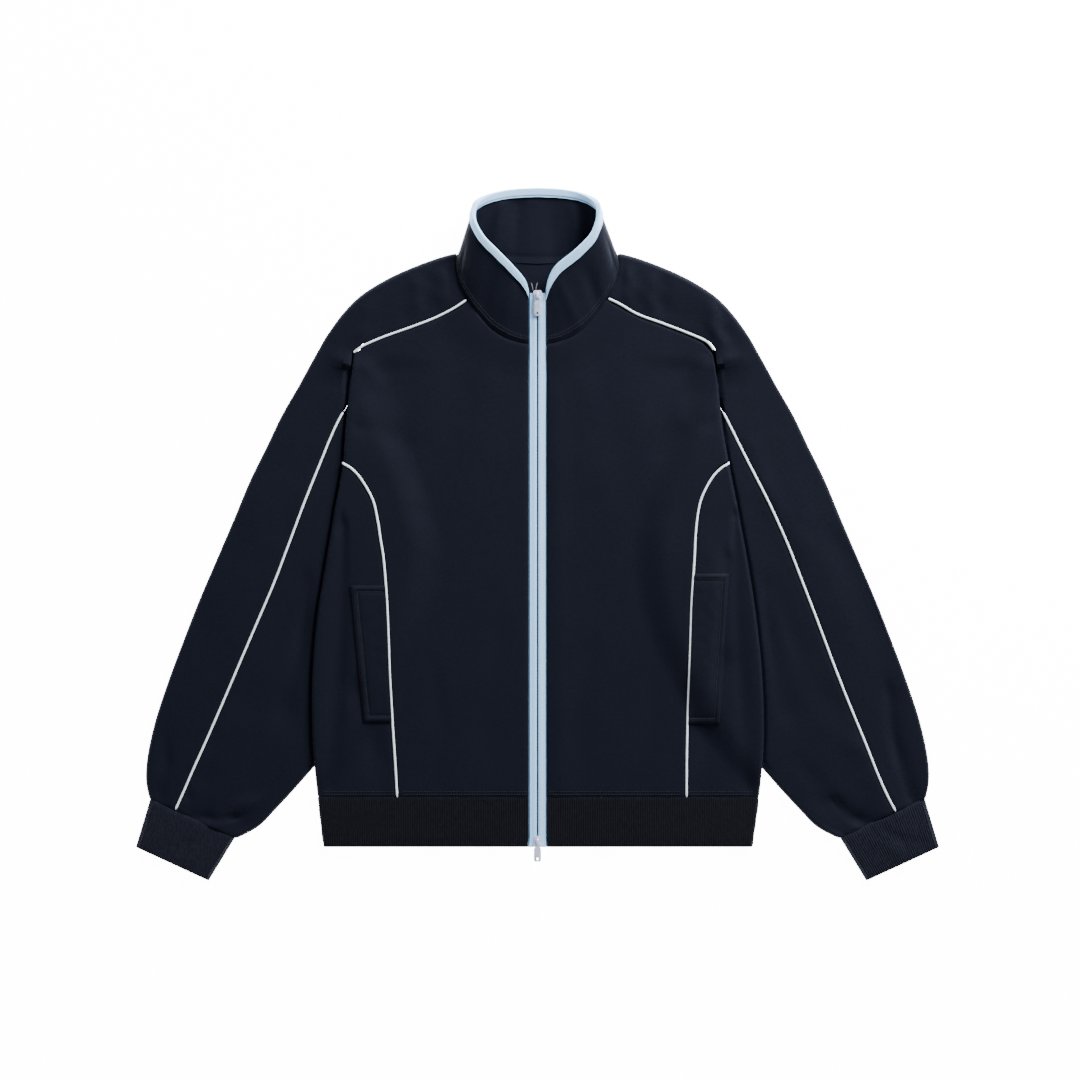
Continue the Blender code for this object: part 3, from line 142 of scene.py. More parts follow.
# Stand collar from the zip round to the middle of the back: neck seam, and the rim of
# the left and the right half.
COLLAR = table(
    "seam left right bulge",
    ((0.0104, 0.217, 0.0092), (0.0104, 0.276, 0.019), (0.0104, 0.276, 0.019), 0.0),
    ((0.03, 0.2215, 0.01), (0.0145, 0.2875, 0.0225), (0.0125, 0.2885, 0.0225), 0.001),
    ((0.0525, 0.2345, 0.0108), (0.027, 0.302, 0.026), (0.0215, 0.3035, 0.026), 0.002),
    ((0.069, 0.2525, 0.0115), (0.045, 0.32, 0.0295), (0.0415, 0.3195, 0.0295), 0.003),
    ((0.0795, 0.269, 0.012), (0.0605, 0.3355, 0.032), (0.059, 0.3365, 0.032), 0.004),
    ((0.0885, 0.285, 0.012), (0.07, 0.351, 0.0325), (0.0665, 0.351, 0.0325), 0.003),
    ((0.093, 0.302, 0.0105), (0.0735, 0.364, 0.03), (0.07, 0.364, 0.03), 0.001),
    ((0.0905, 0.317, 0.007), (0.071, 0.376, 0.024), (0.0685, 0.376, 0.024), 0.0),
    ((0.079, 0.3225, 0.002), (0.0605, 0.384, 0.014), (0.0595, 0.384, 0.014), 0.0),
    ((0.058, 0.318, 0.0), (0.044, 0.3895, 0.007), (0.044, 0.3895, 0.007), 0.0),
    ((0.03, 0.311, 0.0), (0.023, 0.3925, 0.0042), (0.023, 0.3925, 0.0042), 0.0),
    ((0.0, 0.309, 0.0), (0.0, 0.3935, 0.0036), (0.0, 0.3935, 0.0036), 0.0),
)

CUFF = {
    "seam_outer": (0.4424, -0.3030), "seam_inner": (0.3456, -0.3473),
    "end_outer": (0.4585, -0.3570), "end_inner": (0.3750, -0.3955),
}

# Largest soft folds of the laid body and sleeves: a ridge (+) or trough (-) along a line.
BODY_FOLDS = table(
    "side start end width depth",
    ("right", (0.234, -0.02), (0.236, -0.26), 0.016, -0.0012),
    ("left", (0.224, -0.05), (0.236, -0.24), 0.016, -0.0012),
    ("right", (0.022, 0.15), (0.026, -0.27), 0.012, 0.001),
    ("left", (0.12, 0.16), (0.15, 0.02), 0.022, 0.001),
    ("right", (0.115, 0.12), (0.15, -0.02), 0.022, 0.001),
)
SLEEVE_FOLDS = table(
    "side start end width depth",
    ("right", (0.402, -0.19), (0.424, -0.295), 0.012, -0.0014),
    ("right", (0.335, -0.31), (0.372, -0.325), 0.012, -0.0014),
    ("left", (0.35, -0.325), (0.372, -0.322), 0.012, -0.0014),
    ("right", (0.3, 0.02), (0.345, -0.09), 0.022, 0.0012),
    ("left", (0.305, 0.02), (0.35, -0.09), 0.022, 0.0012),
    ("right", (0.118, 0.3), (0.112, 0.266), 0.01, 0.0016),
    ("left", (0.122, 0.298), (0.12, 0.262), 0.01, 0.0014),
    ("right", (0.205, 0.262), (0.212, 0.215), 0.014, 0.0014),
)

# Outer edge of the pocket welts, and the heights between which each welt runs.
WELT_EDGE = table(
    "y left right",
    (-0.218, 0.1975, 0.2075), (-0.0465, 0.214, 0.218),
)
WELT_ENDS = {"left": (-0.2145, -0.0585), "right": (-0.2165, -0.0450)}
WELT_T = 0.28             # share of the side panel's girth under the welt
WELT_WALL = 0.0016
BINDING_WIDTH = 0.0090
COLLAR_START = -0.004     # the collar's cloth starts at the neck seam line
ZIP_HEIGHTS = table(
    "y z",
    (-0.38, LAID), (0.1, LAID), (0.17, LAID + 0.0006), (0.217, 0.0098), (0.245, 0.0138), (0.276, 0.019),
)
BRIDGE = {"half_width": 0.0011, "y_low": -0.0040, "y_high": 0.0040, "rise": 0.0034, "wall": 0.0009}
PULL = {"length": 0.0215, "half_width": 0.0042, "wall": 0.0011, "slot": 0.0017, "slot_length": 0.0029,
        "bar": 0.0005, "hinge_y": -0.0016, "hinge_z": 0.0019, "tilt": math.radians(2.2)}

# Finer creases than the solids have: a ridge (+) or trough (-) along a bowed line, steeper
# on one side. `steep` under 1 makes the side towards the zip the steeper one.
BODY_CREASES = table(
    "side start end bow width depth steep",
    ("right", (0.226, 0.02), (0.24, -0.285), 0.005, 0.01, -0.0024, 0.6),
    ("right", (0.196, -0.03), (0.2, -0.225), 0.004, 0.02, 0.001, 1.3),
    ("right", (0.216, -0.03), (0.2165, -0.235), 0.003, 0.008, -0.0019, 1.3),
    ("left", (0.221, 0.01), (0.236, -0.285), 0.004, 0.01, -0.0022, 0.6),
    ("left", (0.206, -0.18), (0.18, -0.288), 0.004, 0.013, -0.0018, 1.2),
    ("right", (0.214, -0.15), (0.186, -0.285), 0.004, 0.013, -0.0022, 1.2),
    ("left", (0.06, 0.18), (0.085, 0.06), 0.006, 0.024, 0.0009, 1.3),
    ("right", (0.052, 0.17), (0.08, 0.03), 0.005, 0.024, 0.0009, 1.3),
    ("left", (0.045, -0.12), (0.055, -0.29), -0.005, 0.016, -0.0006, 1.2),
    ("right", (0.06, -0.14), (0.052, -0.29), 0.006, 0.016, -0.0008, 0.8),
    ("left", (0.12, -0.15), (0.11, -0.29), 0.004, 0.014, -0.0006, 0.8),
    ("right", (0.13, -0.17), (0.118, -0.292), -0.004, 0.014, -0.0006, 1.2),
    ("left", (0.2, 0.12), (0.15, 0.1), 0.004, 0.01, -0.0009, 1.3),
    ("right", (0.196, 0.125), (0.15, 0.098), 0.004, 0.01, -0.0009, 1.3),
    ("left", (0.19, 0.185), (0.165, 0.12), 0.005, 0.01, 0.0008, 0.8),
    ("right", (0.186, 0.19), (0.16, 0.12), 0.005, 0.01, 0.0008, 0.8),
)
SLEEVE_CREASES = table(
    "side start end bow width depth steep",
    ("right", (0.4, -0.18), (0.426, -0.301), 0.006, 0.008, -0.0023, 0.6),
    ("right", (0.338, -0.305), (0.375, -0.331), 0.003, 0.006, -0.0022, 0.7),
    ("right", (0.36, -0.24), (0.395, -0.312), -0.006, 0.01, 0.001, 1.3),
    ("right", (0.3, -0.262), (0.345, -0.33), -0.004, 0.009, -0.001, 1.3),
    ("left", (0.345, -0.3235), (0.3848, -0.324), 0.002, 0.005, -0.0022, 0.7),
    ("left", (0.3985, -0.29), (0.3985, -0.3135), 0.001, 0.004, -0.0015, 0.8),
    ("left", (0.3266, -0.305), (0.3677, -0.332), -0.003, 0.007, 0.0018, 1.3),
    ("left", (0.425, -0.23), (0.43, -0.296), 0.004, 0.009, -0.0014, 0.7),
    ("left", (0.372, -0.24), (0.38, -0.3), -0.004, 0.011, -0.0008, 1.3),
    ("right", (0.27, -0.06), (0.33, -0.19), 0.006, 0.014, -0.001, 0.7),
    ("left", (0.272, -0.06), (0.332, -0.19), 0.006, 0.014, -0.001, 0.7),
    ("left", (0.262, -0.055), (0.287, -0.2), 0.003, 0.01, -0.0022, 0.8),
    ("right", (0.26, -0.06), (0.284, -0.2), 0.004, 0.01, -0.0015, 0.8),
    ("right", (0.34, -0.01), (0.392, -0.13), -0.006, 0.014, -0.0009, 1.3),
    ("left", (0.342, -0.01), (0.394, -0.13), -0.006, 0.014, -0.0009, 1.3),
    ("right", (0.246, 0.1), (0.3, -0.01), 0.006, 0.01, 0.0009, 1.2),
    ("left", (0.25, 0.1), (0.302, -0.01), 0.006, 0.01, 0.0009, 1.2),
)
SADDLE_CREASES = table(
    "side start end bow width depth steep",
    ("right", (0.108, 0.314), (0.101, 0.27), 0.002, 0.006, 0.0018, 0.7),
    ("right", (0.121, 0.309), (0.113, 0.264), 0.002, 0.006, -0.0015, 1.2),
    ("right", (0.135, 0.304), (0.128, 0.26), 0.002, 0.006, 0.0019, 0.7),
    ("right", (0.15, 0.298), (0.142, 0.256), 0.002, 0.007, -0.0013, 1.2),
    ("left", (0.112, 0.312), (0.106, 0.268), 0.002, 0.007, 0.0014, 0.7),
    ("left", (0.128, 0.304), (0.121, 0.262), 0.002, 0.006, -0.0012, 1.2),
    ("left", (0.143, 0.298), (0.137, 0.258), 0.002, 0.007, 0.0014, 0.8),
    ("right", (0.2, 0.262), (0.207, 0.214), 0.004, 0.008, 0.0018, 0.7),
    ("right", (0.216, 0.256), (0.222, 0.214), 0.004, 0.009, -0.0014, 1.3),
    ("left", (0.196, 0.262), (0.206, 0.214), 0.004, 0.012, 0.0011, 0.8),
)
COLLAR_CREASES = table(
    "t v reach_t reach_v depth",
    (-0.86, 0.45, 0.03, 0.45, 0.0014), (-0.76, 0.35, 0.035, 0.4, -0.002),
    (0.84, 0.45, 0.03, 0.45, 0.0013), (0.72, 0.35, 0.035, 0.4, -0.002), (-0.16, 0.55, 0.03, 0.5, -0.0022),
    (-0.08, 0.55, 0.026, 0.6, 0.0018), (0.06, 0.5, 0.03, 0.5, 0.001), (0.15, 0.45, 0.03, 0.6, -0.0018),
    (-0.52, 0.3, 0.03, 0.35, -0.0014), (0.5, 0.3, 0.03, 0.35, -0.0014),
)
WAVE = 0.00028            # soft unevenness of cloth that lies by itself
WAVE_SIZE = 0.040
PUCKER = 0.00022          # small waves that a seam draws in the cloth beside it
PUCKER_PITCH = 0.013
ROLL_DEPTH, ROLL_WIDTH = 0.0006, 0.0016     # the cloth turns down at its sewn edges


# ---------------------------------------------------------------- small helpers
def smooth(t):
    """Ease from 0 to 1."""
    t = min(max(t, 0.0), 1.0)
    return t * t * (3.0 - 2.0 * t)


def mix(a, b, t):
    """Straight blend of two numbers or two points."""
    if isinstance(a, (int, float)):
        return a + (b - a) * t
    return tuple(p + (q - p) * t for p, q in zip(a, b))


def spline(values, t):
    """Smooth curve through evenly spaced values, t from 0 to 1."""
    last = len(values) - 1
    i = min(int(t * last), last - 1)
    f = t * last - i
    before, after = values[max(i - 1, 0)], values[min(i + 2, last)]
    here, there = values[i], values[i + 1]
    if isinstance(here, (int, float)):
        return cubic(here, there, (there - before) / 2, (after - here) / 2, f)
    return tuple(cubic(b, c, (c - a) / 2, (d - b) / 2, f)
                 for a, b, c, d in zip(before, here, there, after))


def cubic(here, there, slope_a, slope_b, f):
    """Smooth blend of two values, with the slopes at both."""
    f2, f3 = f * f, f * f * f
    return ((2 * f3 - 3 * f2 + 1) * here + (f3 - 2 * f2 + f) * slope_a
            + (3 * f2 - 2 * f3) * there + (f3 - f2) * slope_b)


def lookup(rows, key, at, value):
    """Column `value` of a table at a place in its rising column `key`."""
    places, last = [row[key] for row in rows], len(rows) - 1
    at = min(max(at, places[0]), places[-1])
    i = 0
    while i < last - 1 and at > places[i + 1]:
        i += 1
    low, high = max(i - 1, 0), min(i + 2, last)
    here, there, gap = rows[i][value], rows[i + 1][value], places[i + 1] - places[i]
    slope_a = (there - rows[low][value]) / (places[i + 1] - places[low]) * gap
    slope_b = (rows[high][value] - here) / (places[high] - places[i]) * gap
    return cubic(here, there, slope_a, slope_b, (at - places[i]) / gap)


def spread(count, low=0.0, high=1.0):
    """Evenly spaced numbers."""
    return [low + (high - low) * i / (count - 1) for i in range(count)]


# ---------------------------------------------------------------- the laid form
def line_place(crease, x, y):
    """How far a plan point is along and across a crease's line, and the line's length."""
    (ax, ay), (bx, by) = crease["start"], crease["end"]
    length = math.hypot(bx - ax, by - ay)
    return (((x - ax) * (bx - ax) + (y - ay) * (by - ay)) / length,
            ((x - ax) * (by - ay) - (y - ay) * (bx - ax)) / length, length)


def folds(rows, side, x, y):
    """Height of the large soft folds at a plan point."""
    total = 0.0
    for fold in rows:
        if fold["side"] == side:
            along, across, length = line_place(fold, x, y)
            beyond = max(-along, along - length, 0.0)
            total += fold["depth"] * math.exp(-(across / fold["width"]) ** 2
                                              - (beyond / (2 * fold["width"])) ** 2)
    return total


def body_edge(side, y):
    """Half width of the laid body."""
    return lookup(BODY_EDGE, "y", y, side)


SLEEVE_INNER = [{"y": row["inner"][1], "x": row["inner"][0]} for row in SLEEVE]
SLEEVE_INNER.append({"y": 0.1600, "x": 0.2090})


def tuck(x, y):
    """How high the body's underside lies: up on the sleeve's hidden part, or on the floor."""
    inner = lookup(SLEEVE_INNER, "y", y, "x")
    height = mix(TUCK, TUCK_SHOULDER, smooth((y - 0.08) / 0.08))
    height *= 1.0 - smooth((y - TUCK_END_Y + 0.020) / 0.020)
    return height * smooth((x - inner + TUCK_RAMP) / TUCK_RAMP)


def back_tuck(x, y):
    """The back's own lift, which ends above the underarm, where the back is on the floor."""
    return tuck(x, y) * (1.0 - smooth((y - UNDERARM_Y) / 0.045))


def laid_height(y):
    """Outside to outside height of the body's two layers."""
    return mix(LAID, 0.0056, smooth((y - 0.12) / 0.07))


def neck_rise(x, y):
    """The fronts rise a little towards the neck seam."""
    reach = math.hypot(x * 0.92, y - 0.300)
    return 0.0030 * smooth((0.125 - reach) / 0.045)


def soft(side, x, y):
    """Folds, finer creases and unevenness of the body's upper side."""
    near_zip = smooth((x - 0.010) / 0.012)
    return (folds(BODY_FOLDS, side, x, y) + (creases(BODY_CREASES, side, x, y)
            + wave(SIDES[side] * x, y)) * near_zip)


def body_top(side, x, y):
    """Height of the front's outer face."""
    near_side = smooth((x - 0.10) / 0.08)
    thick = mix(LAID, laid_height(y) + 0.0022 * smooth((y - 0.185) / 0.02), near_side)
    return tuck(x, y) + thick + neck_rise(x, y) + soft(side, x, y)


def body_point(side, w, y):
    """Outer point of the body at girth distance w from the middle of the front."""
    edge, height = body_edge(side, y), laid_height(y)
    radius = height / 2
    start = edge - radius
    arc = math.pi * radius
    if w <= start:
        return (SIDES[side] * w, y, body_top(side, w, y))
    base = tuck(start, y)
    if w <= start + arc:
        angle = (w - start) / radius
        extra = (body_top(side, start, y) - base - height) * (1 + math.cos(angle)) / 2
        z = base + radius + radius * math.cos(angle) + extra
        return (SIDES[side] * (start + radius * math.sin(angle)), y, z)
    x = start - (w - start - arc)
    return (SIDES[side] * x, y, mix(tuck(x, y), base, smooth((x - start + 0.01) / 0.01)))


def body_inner(side, w, y):
    """The point on the cloth's inner face behind body_point."""
    radius = laid_height(y) / 2
    angle = min(max((w - body_edge(side, y) + radius) / radius, 0.0), math.pi)
    x, _, z = body_point(side, w, y)
    return (x - SIDES[side] * CLOTH * math.sin(angle), y, z - CLOTH * math.cos(angle))


def under_girth(side, x, y):
    """Girth distance of the underside point at half width x."""
    radius = laid_height(y) / 2
    start = body_edge(side, y) - radius
    return start + math.pi * radius + (start - x)


def fold_girth(side, y):
    """Girth distance of the outermost point of the side fold."""
    radius = laid_height(y) / 2
    return body_edge(side, y) - radius + math.pi * radius / 2


def creases(rows, side, x, y):
    """Height of the finer creases at a plan point."""
    total = 0.0
    for crease in rows:
        if crease["side"] != side:
            continue
        along, across, length = line_place(crease, x, y)
        share = min(max(along / length, 0.0), 1.0)
        across -= crease["bow"] * math.sin(math.pi * share)
        width = crease["width"] * (0.75 + 0.5 * share)
        width *= crease["steep"] if across > 0 else 1.0
        beyond = max(-along, along - length, 0.0)
        uneven = 1.0 + 0.35 * math.sin(9.0 * share + crease["start"][0] * 40)
        total += crease["depth"] * uneven * math.exp(-(across / width) ** 2
                                                     - (beyond / (1.6 * width)) ** 2)
    return total


def wave(x, y, seed=0.0):
    """Soft unevenness of the laid cloth."""
    broad = noise.noise(Vector((x / WAVE_SIZE, y / (1.6 * WAVE_SIZE), seed)))
    small = noise.noise(Vector((x / (0.35 * WAVE_SIZE), y / (0.5 * WAVE_SIZE), seed + 7.0)))
    return WAVE * (broad + 0.35 * small)


def zip_height(y):
    return lookup(ZIP_HEIGHTS, "y", y, "z")


def zip_spread(y):
    """The tapes part below the lower slider's reach."""
    return 0.0010 * smooth((-0.3460 - y) / 0.012)


def patch(bottom, top, left, right, columns, rows):
    """Grid of (w, y) between four edge curves, each a function of 0 to 1."""
    grid = []
    for v in rows:
        line = []
        for u in columns:
            ruled_v = mix(bottom(u), top(u), v)
            ruled_u = mix(left(v), right(v), u)
            low = mix(bottom(0.0), bottom(1.0), u)
            high = mix(top(0.0), top(1.0), u)
            corners = mix(low, high, v)
            line.append(tuple(a + b - c for a, b, c in zip(ruled_v, ruled_u, corners)))
        grid.append(line)
    return grid


def side_seam_girth(side, y):
    """Girth distance of the curved front seam."""
    return lookup(SIDE_SEAM, "y", y, side)


SEAM_TOP_Y = 0.0860       # the curved seam goes round the side fold at this height
FRONT_UNDER = 0.0030      # the front's edge turns this far under above the curved seam
SEAM_SPACE = PIPING / 2 + 1.7 * GAP     # from the seam line to the cloth beside it
SEAM_SHARE = 0.62         # part of the front's outer edge that is the curved seam
NECK_SHARE = 0.42         # part of the front's top edge that is the neck seam
FOLD_WIDTH = 0.0120
SEAM_STEPS = [i / 13 for i in range(12)] + [11.5 / 13, 12 / 13, 12.5 / 13, 1.0]
SLEEVE_STEPS = [i / 12 for i in range(12)] + [11.35 / 12, 11.7 / 12, 1.0]
SADDLE_STEPS = [0.0, 1 / 18, 2 / 18, 1 / 6, 2 / 6, 3 / 6, 4 / 6, 5 / 6, 1.0]


def seam_line(side, v):
    """(w, y) of the curved seam: up the front, then round the side fold."""
    front = [(row[side], row["y"]) for row in SIDE_SEAM]
    fold_y = 0.0805
    end = under_girth(side, body_edge(side, SEAM_TOP_Y) - laid_height(SEAM_TOP_Y) / 2 - 0.003,
                      SEAM_TOP_Y)
    front.append((fold_girth(side, fold_y) - 0.002, fold_y))
    front.append((end, SEAM_TOP_Y))
    return spline(front, v)


def beside_seam(side, v, reach):
    """(w, y) at a distance from the curved seam, positive towards the side panel."""
    w, y = seam_line(side, v)
    low_w, low_y = seam_line(side, max(v - 0.02, 0))
    high_w, high_y = seam_line(side, min(v + 0.02, 1))
    length = math.hypot(high_w - low_w, high_y - low_y)
    across = ((high_y - low_y) / length, -(high_w - low_w) / length)
    return (w + across[0] * reach, max(y + across[1] * reach, HEM_SEAM_Y))


def front_side_line(side, v):
    """(w, y) of the front's outer edge: the curved seam, then the turned edge to the saddle."""
    if v <= SEAM_SHARE:
        along = v / SEAM_SHARE
        return beside_seam(side, along, -SEAM_SPACE * (1 + 0.45 * smooth((along - 0.75) / 0.1)))
    y = mix(SEAM_TOP_Y + SEAM_SPACE, CORNER_Y, (v - SEAM_SHARE) / (1 - SEAM_SHARE))
    turned = under_girth(side, body_edge(side, y) - laid_height(y) / 2 - FRONT_UNDER, y)
    plain = body_edge(side, y) - 0.0012
    return (mix(turned, plain, smooth((y - 0.150) / (FOLD_END_Y - 0.150))), y)


def saddle_line(side, t):
    """Plan point of the front saddle seam from the body's side (0) to the collar (1)."""
    return spline([row[side] for row in SADDLE[1:]], t)


def front_top_line(side, u):
    """(w, y) of the front's top edge: the neck seam, then the saddle seam outwards."""
    if u <= NECK_SHARE:
        return spline([(row["x"], row["y"] - GAP) for row in NECK_FRONT], u / NECK_SHARE)
    along = (u - NECK_SHARE) / (1 - NECK_SHARE)
    x, y = saddle_line(side, 1 - along)
    corner_w = body_edge(side, CORNER_Y) - 0.0012
    below = SEAM_SPACE * (1.2 + 0.6 * smooth((0.12 - x) / 0.04)) * smooth(along / 0.1)
    return mix((x, y - below), (corner_w, CORNER_Y), smooth((u - 0.9) / 0.1))


# ---------------------------------------------------------------- sleeves
def sleeve_cover(side, x, y):
    """Highest the sleeve may reach at a plan point, because the body lies on it there."""
    edge = body_edge(side, y)
    if y > 0.2100:
        return 1.0
    room = mix(4 * GAP, 2 * GAP, smooth((y - 0.05) / 0.08))
    hidden = tuck(min(x, edge - laid_height(y) / 2), y) - room
    free = 1.0 - smooth((edge + 0.010 - x) / 0.0105)
    return mix(hidden, 0.0120, free)


def sleeve_row(side, t):
    """One section of the sleeve tube: plan points of its outer fold, seam and inner fold, t from cuff to
    armhole.
    """
    outer = spline([row["outer"] for row in SLEEVE], t)
    inner = spline([row["inner"] for row in SLEEVE], t)
    seam = spline([row[side] for row in SLEEVE], t)
    return outer, seam, inner


def section_point(side, start, end, distance, z):
    """Point at a plan distance from the outer fold, mirrored to its side."""
    length = math.dist(start, end)
    x, y = mix(start, end, distance / length)
    return (SIDES[side] * x, y, z)


def sleeve_top(side, x, y, height):
    z = height + folds(SLEEVE_FOLDS, side, x, y) + creases(SLEEVE_CREASES, side, x, y)
    z += wave(SIDES[side] * x, y, 1.0)
    return min(z, sleeve_cover(side, x, y))


def fold_points(side, outer, low_end, seam, height, steps=5):
    """Points round the outer fold, from the underside to the top."""
    radius = height / 2
    points = []
    for t in spread(steps)[1:-1]:
        angle = math.pi * t
        distance = radius - radius * math.sin(angle)
        end = mix(low_end, seam, t)
        points.append(section_point(side, outer, end, distance, radius - radius * math.cos(angle)))
    return points


def upper_section(side, t):
    """Section of the upper sleeve, from under the sleeve round its outer fold to the piping."""
    outer, seam, _ = sleeve_row(side, t)
    length = math.dist(outer, seam)
    radius = LAID / 2
    reach = length - SEAM_SPACE
    points = [section_point(side, outer, seam, distance, 0.0)
              for distance in spread(9, length - GAP / 2, radius)]
    points += fold_points(side, outer, seam, seam, LAID, 11)
    for distance in refine([radius, reach], 22, (0.012, 0.03)):
        x, y = mix(outer, seam, distance / length)
        points.append((SIDES[side] * x, y, sleeve_top(side, x, y, LAID)))
    return points


def saddle_row(side, step):
    """Plan points and bow of one saddle section; step 0 is at the body's side, 1 at the collar."""
    rows = SADDLE[1:]
    return (spline([row["outer"] for row in rows], step), spline([row[side] for row in rows], step),
            spline([row["back"] for row in rows], step), spline([row["bow"] for row in rows], step))


def saddle_section(side, row, share):
    """One section over the shoulder, bowed towards the sleeve."""
    edge, seam, back, bow = row
    height = mix(LAID, 0.0105, smooth(share * 2))
    radius = height / 2
    points = [section_point(side, edge, back, distance, 0.0)
              for distance in spread(9, math.dist(edge, back) - GAP, radius)]
    points += fold_points(side, edge, back, seam, height, 11)
    length = math.dist(edge, seam)
    across = ((seam[1] - edge[1]) / length, -(seam[0] - edge[0]) / length)
    if across[0] < 0:
        across = (-across[0], -across[1])
    seam_z = body_top(side, *seam) if share > 0 else sleeve_cover(side, *seam)
    for t in refine([0.0, 1.0], 22, (0.012, 0.03)):
        distance = mix(radius, length - SEAM_SPACE, t)
        x, y = mix(edge, seam, distance / length)
        swell = math.sin(math.pi * t)
        x, y = x + across[0] * bow * swell, y + across[1] * bow * swell
        relief = folds(SLEEVE_FOLDS, side, x, y) + creases(SADDLE_CREASES, side, x, y)
        z = mix(height, seam_z, smooth(t)) + (relief + wave(SIDES[side] * x, y, 1.0)) * swell
        points.append((SIDES[side] * x, y, z))
    return points


def body_crossing(side, seam, inner):
    """Distance from the seam, along a section, at which the body's side fold lies over it."""
    length = math.dist(seam, inner)
    for distance in spread(120, 0.0, length):
        x, y = mix(seam, inner, distance / length)
        if x <= body_edge(side, y) and y > HEM_BOTTOM_Y:
            return distance
    return length


def collar_frame(t):
    """Seam point, rim point and bulge, t from -1 (left zip edge) over 0 (back) to 1."""
    side = "left" if t < 0 else "right"
    sign, place = SIDES[side], 1 - abs(t)
    seam = spline([row["seam"] for row in COLLAR], place)
    rim = spline([row[side] for row in COLLAR], place)
    bulge = spline([row["bulge"] for row in COLLAR], place)
    return (Vector((sign * seam[0], seam[1], max(seam[2], 0.0))),
            Vector((sign * rim[0], rim[1], rim[2])), bulge)


def collar_point(t, v):
    """Outer point of the collar, v from 0 at the neck seam to 1 at the rim."""
    seam, rim, bulge = collar_frame(t)
    place = seam.lerp(rim, v)
    outward = Vector((place.x, (place.y - 0.300) * 0.3, 0.02)).normalized()
    return place + outward * bulge * math.sin(math.pi * v)


def collar_normal(t, v):
    """Outward normal of the collar and the direction towards its rim."""
    step = 0.004
    across = collar_point(min(t + step, 1.0), v) - collar_point(max(t - step, -1.0), v)
    up = collar_point(t, v + 0.01) - collar_point(t, v - 0.01)
    return up.cross(across).normalized(), up.normalized()


# ---------------------------------------------------------------- fine grids
def refine(stations, parts, near=()):
    """Stations with each interval cut in parts, and extra ones close to both ends."""
    fine = []
    for a, b in zip(stations, stations[1:]):
        fine += [mix(a, b, i / parts) for i in range(parts)]
    fine.append(stations[-1])
    ends = [mix(stations[0], stations[-1], share) for share in near]
    ends += [mix(stations[-1], stations[0], share) for share in near]
    return sorted(set(fine) | set(ends), reverse=stations[0] > stations[-1])


def grid_normals(grid, flip, closed=False):
    """Unit normals of a grid of Vectors."""
    rows, columns = len(grid), len(grid[0])
    out = []
    for i in range(rows):
        down, up = grid[max(i - 1, 0)], grid[min(i + 1, rows - 1)]
        line = []
        for j in range(columns):
            before = (j - 1) % columns if closed else max(j - 1, 0)
            after = (j + 1) % columns if closed else min(j + 1, columns - 1)
            normal = (grid[i][after] - grid[i][before]).cross(up[j] - down[j])
            line.append(normal.normalized() * (-1 if flip else 1))
        out.append(line)
    return out


def run_lengths(points):
    """How far along its line each point is."""
    runs = [0.0]
    for a, b in zip(points, points[1:]):
        runs.append(runs[-1] + (b - a).length)
    return runs


def edge_distances(grid):
    """For each point, how far it is along the cloth from the first and last column and row."""
    across = [run_lengths(line) for line in grid]
    along = [run_lengths(column) for column in zip(*grid)]
    return [[(run[j], run[-1] - run[j], column[i], column[-1] - column[i])
             for j, column in enumerate(along)] for i, run in enumerate(across)]


def roll_edges(grid, flip, edges, seed):
    """Turn the cloth down at its sewn edges, and let the seams pucker it a little."""
    out = []
    for line, ns, ds in zip(grid, grid_normals(grid, flip), edge_distances(grid)):
        new = []
        for p, n, d in zip(line, ns, ds):
            drop = pucker = 0.0
            for edge in edges:
                drop += ROLL_DEPTH * math.exp(-(d[edge] / ROLL_WIDTH) ** 2)
                run = d[2] if edge < 2 else d[0]
                wobble = noise.noise(Vector((run / PUCKER_PITCH, edge * 5.0, seed)))
                pucker += PUCKER * wobble * math.exp(-d[edge] / 0.010)
            moved = p.copy() if p.z < ROLL_DEPTH else p + n * (pucker - drop)
            moved.z = max(moved.z, 0.0)
            new.append(moved)
        out.append(new)
    return out


def shell(name, outer, thickness, look, flip=False, closed=False, inner=None, ends=True):
    """A closed cloth shell from an outer grid of Vectors, its inner grid and its edges."""
    rows, columns = len(outer), len(outer[0])
    if inner is None:
        directions = grid_normals(outer, flip, closed)
        inner = [[p - n * thickness for p, n in zip(line, ns)]
                 for line, ns in zip(outer, directions)]
        inner = [[Vector((p.x, p.y, max(p.z, thickness))) for p in line] for line in inner]
    mesh = bmesh.new()
    tops = [[mesh.verts.new(p) for p in line] for line in outer]
    lows = [[mesh.verts.new(p) for p in line] for line in inner]
    spans = columns if closed else columns - 1
    for i in range(rows - 1):
        for j in range(spans):
            k = (j + 1) % columns
            mesh.faces.new((tops[i][j], tops[i][k], tops[i + 1][k], tops[i + 1][j]))
            mesh.faces.new((lows[i][j], lows[i + 1][j], lows[i + 1][k], lows[i][k]))
    for j in range(spans):
        k = (j + 1) % columns
        mesh.faces.new((tops[0][j], lows[0][j], lows[0][k], tops[0][k]))
        mesh.faces.new((tops[-1][j], tops[-1][k], lows[-1][k], lows[-1][j]))
    if not closed:
        for i in range(rows - 1):
            mesh.faces.new((tops[i][0], tops[i + 1][0], lows[i + 1][0], lows[i][0]))
            mesh.faces.new((tops[i][-1], lows[i][-1], lows[i + 1][-1], tops[i + 1][-1]))
    return finish_piece(name, mesh, look)


def turns(count):
    """Angles of evenly spaced places round a ring."""
    return [2 * math.pi * k / count for k in range(count)]


def skin(mesh, rings):
    """Join rings of points into a tube with closed ends."""
    count = len(rings[0])
    for a, b in zip(rings, rings[1:]):
        for k in range(count):
            mesh.faces.new((a[k], a[(k + 1) % count], b[(k + 1) % count], b[k]))
    mesh.faces.new(rings[0][::-1])
    mesh.faces.new(rings[-1])


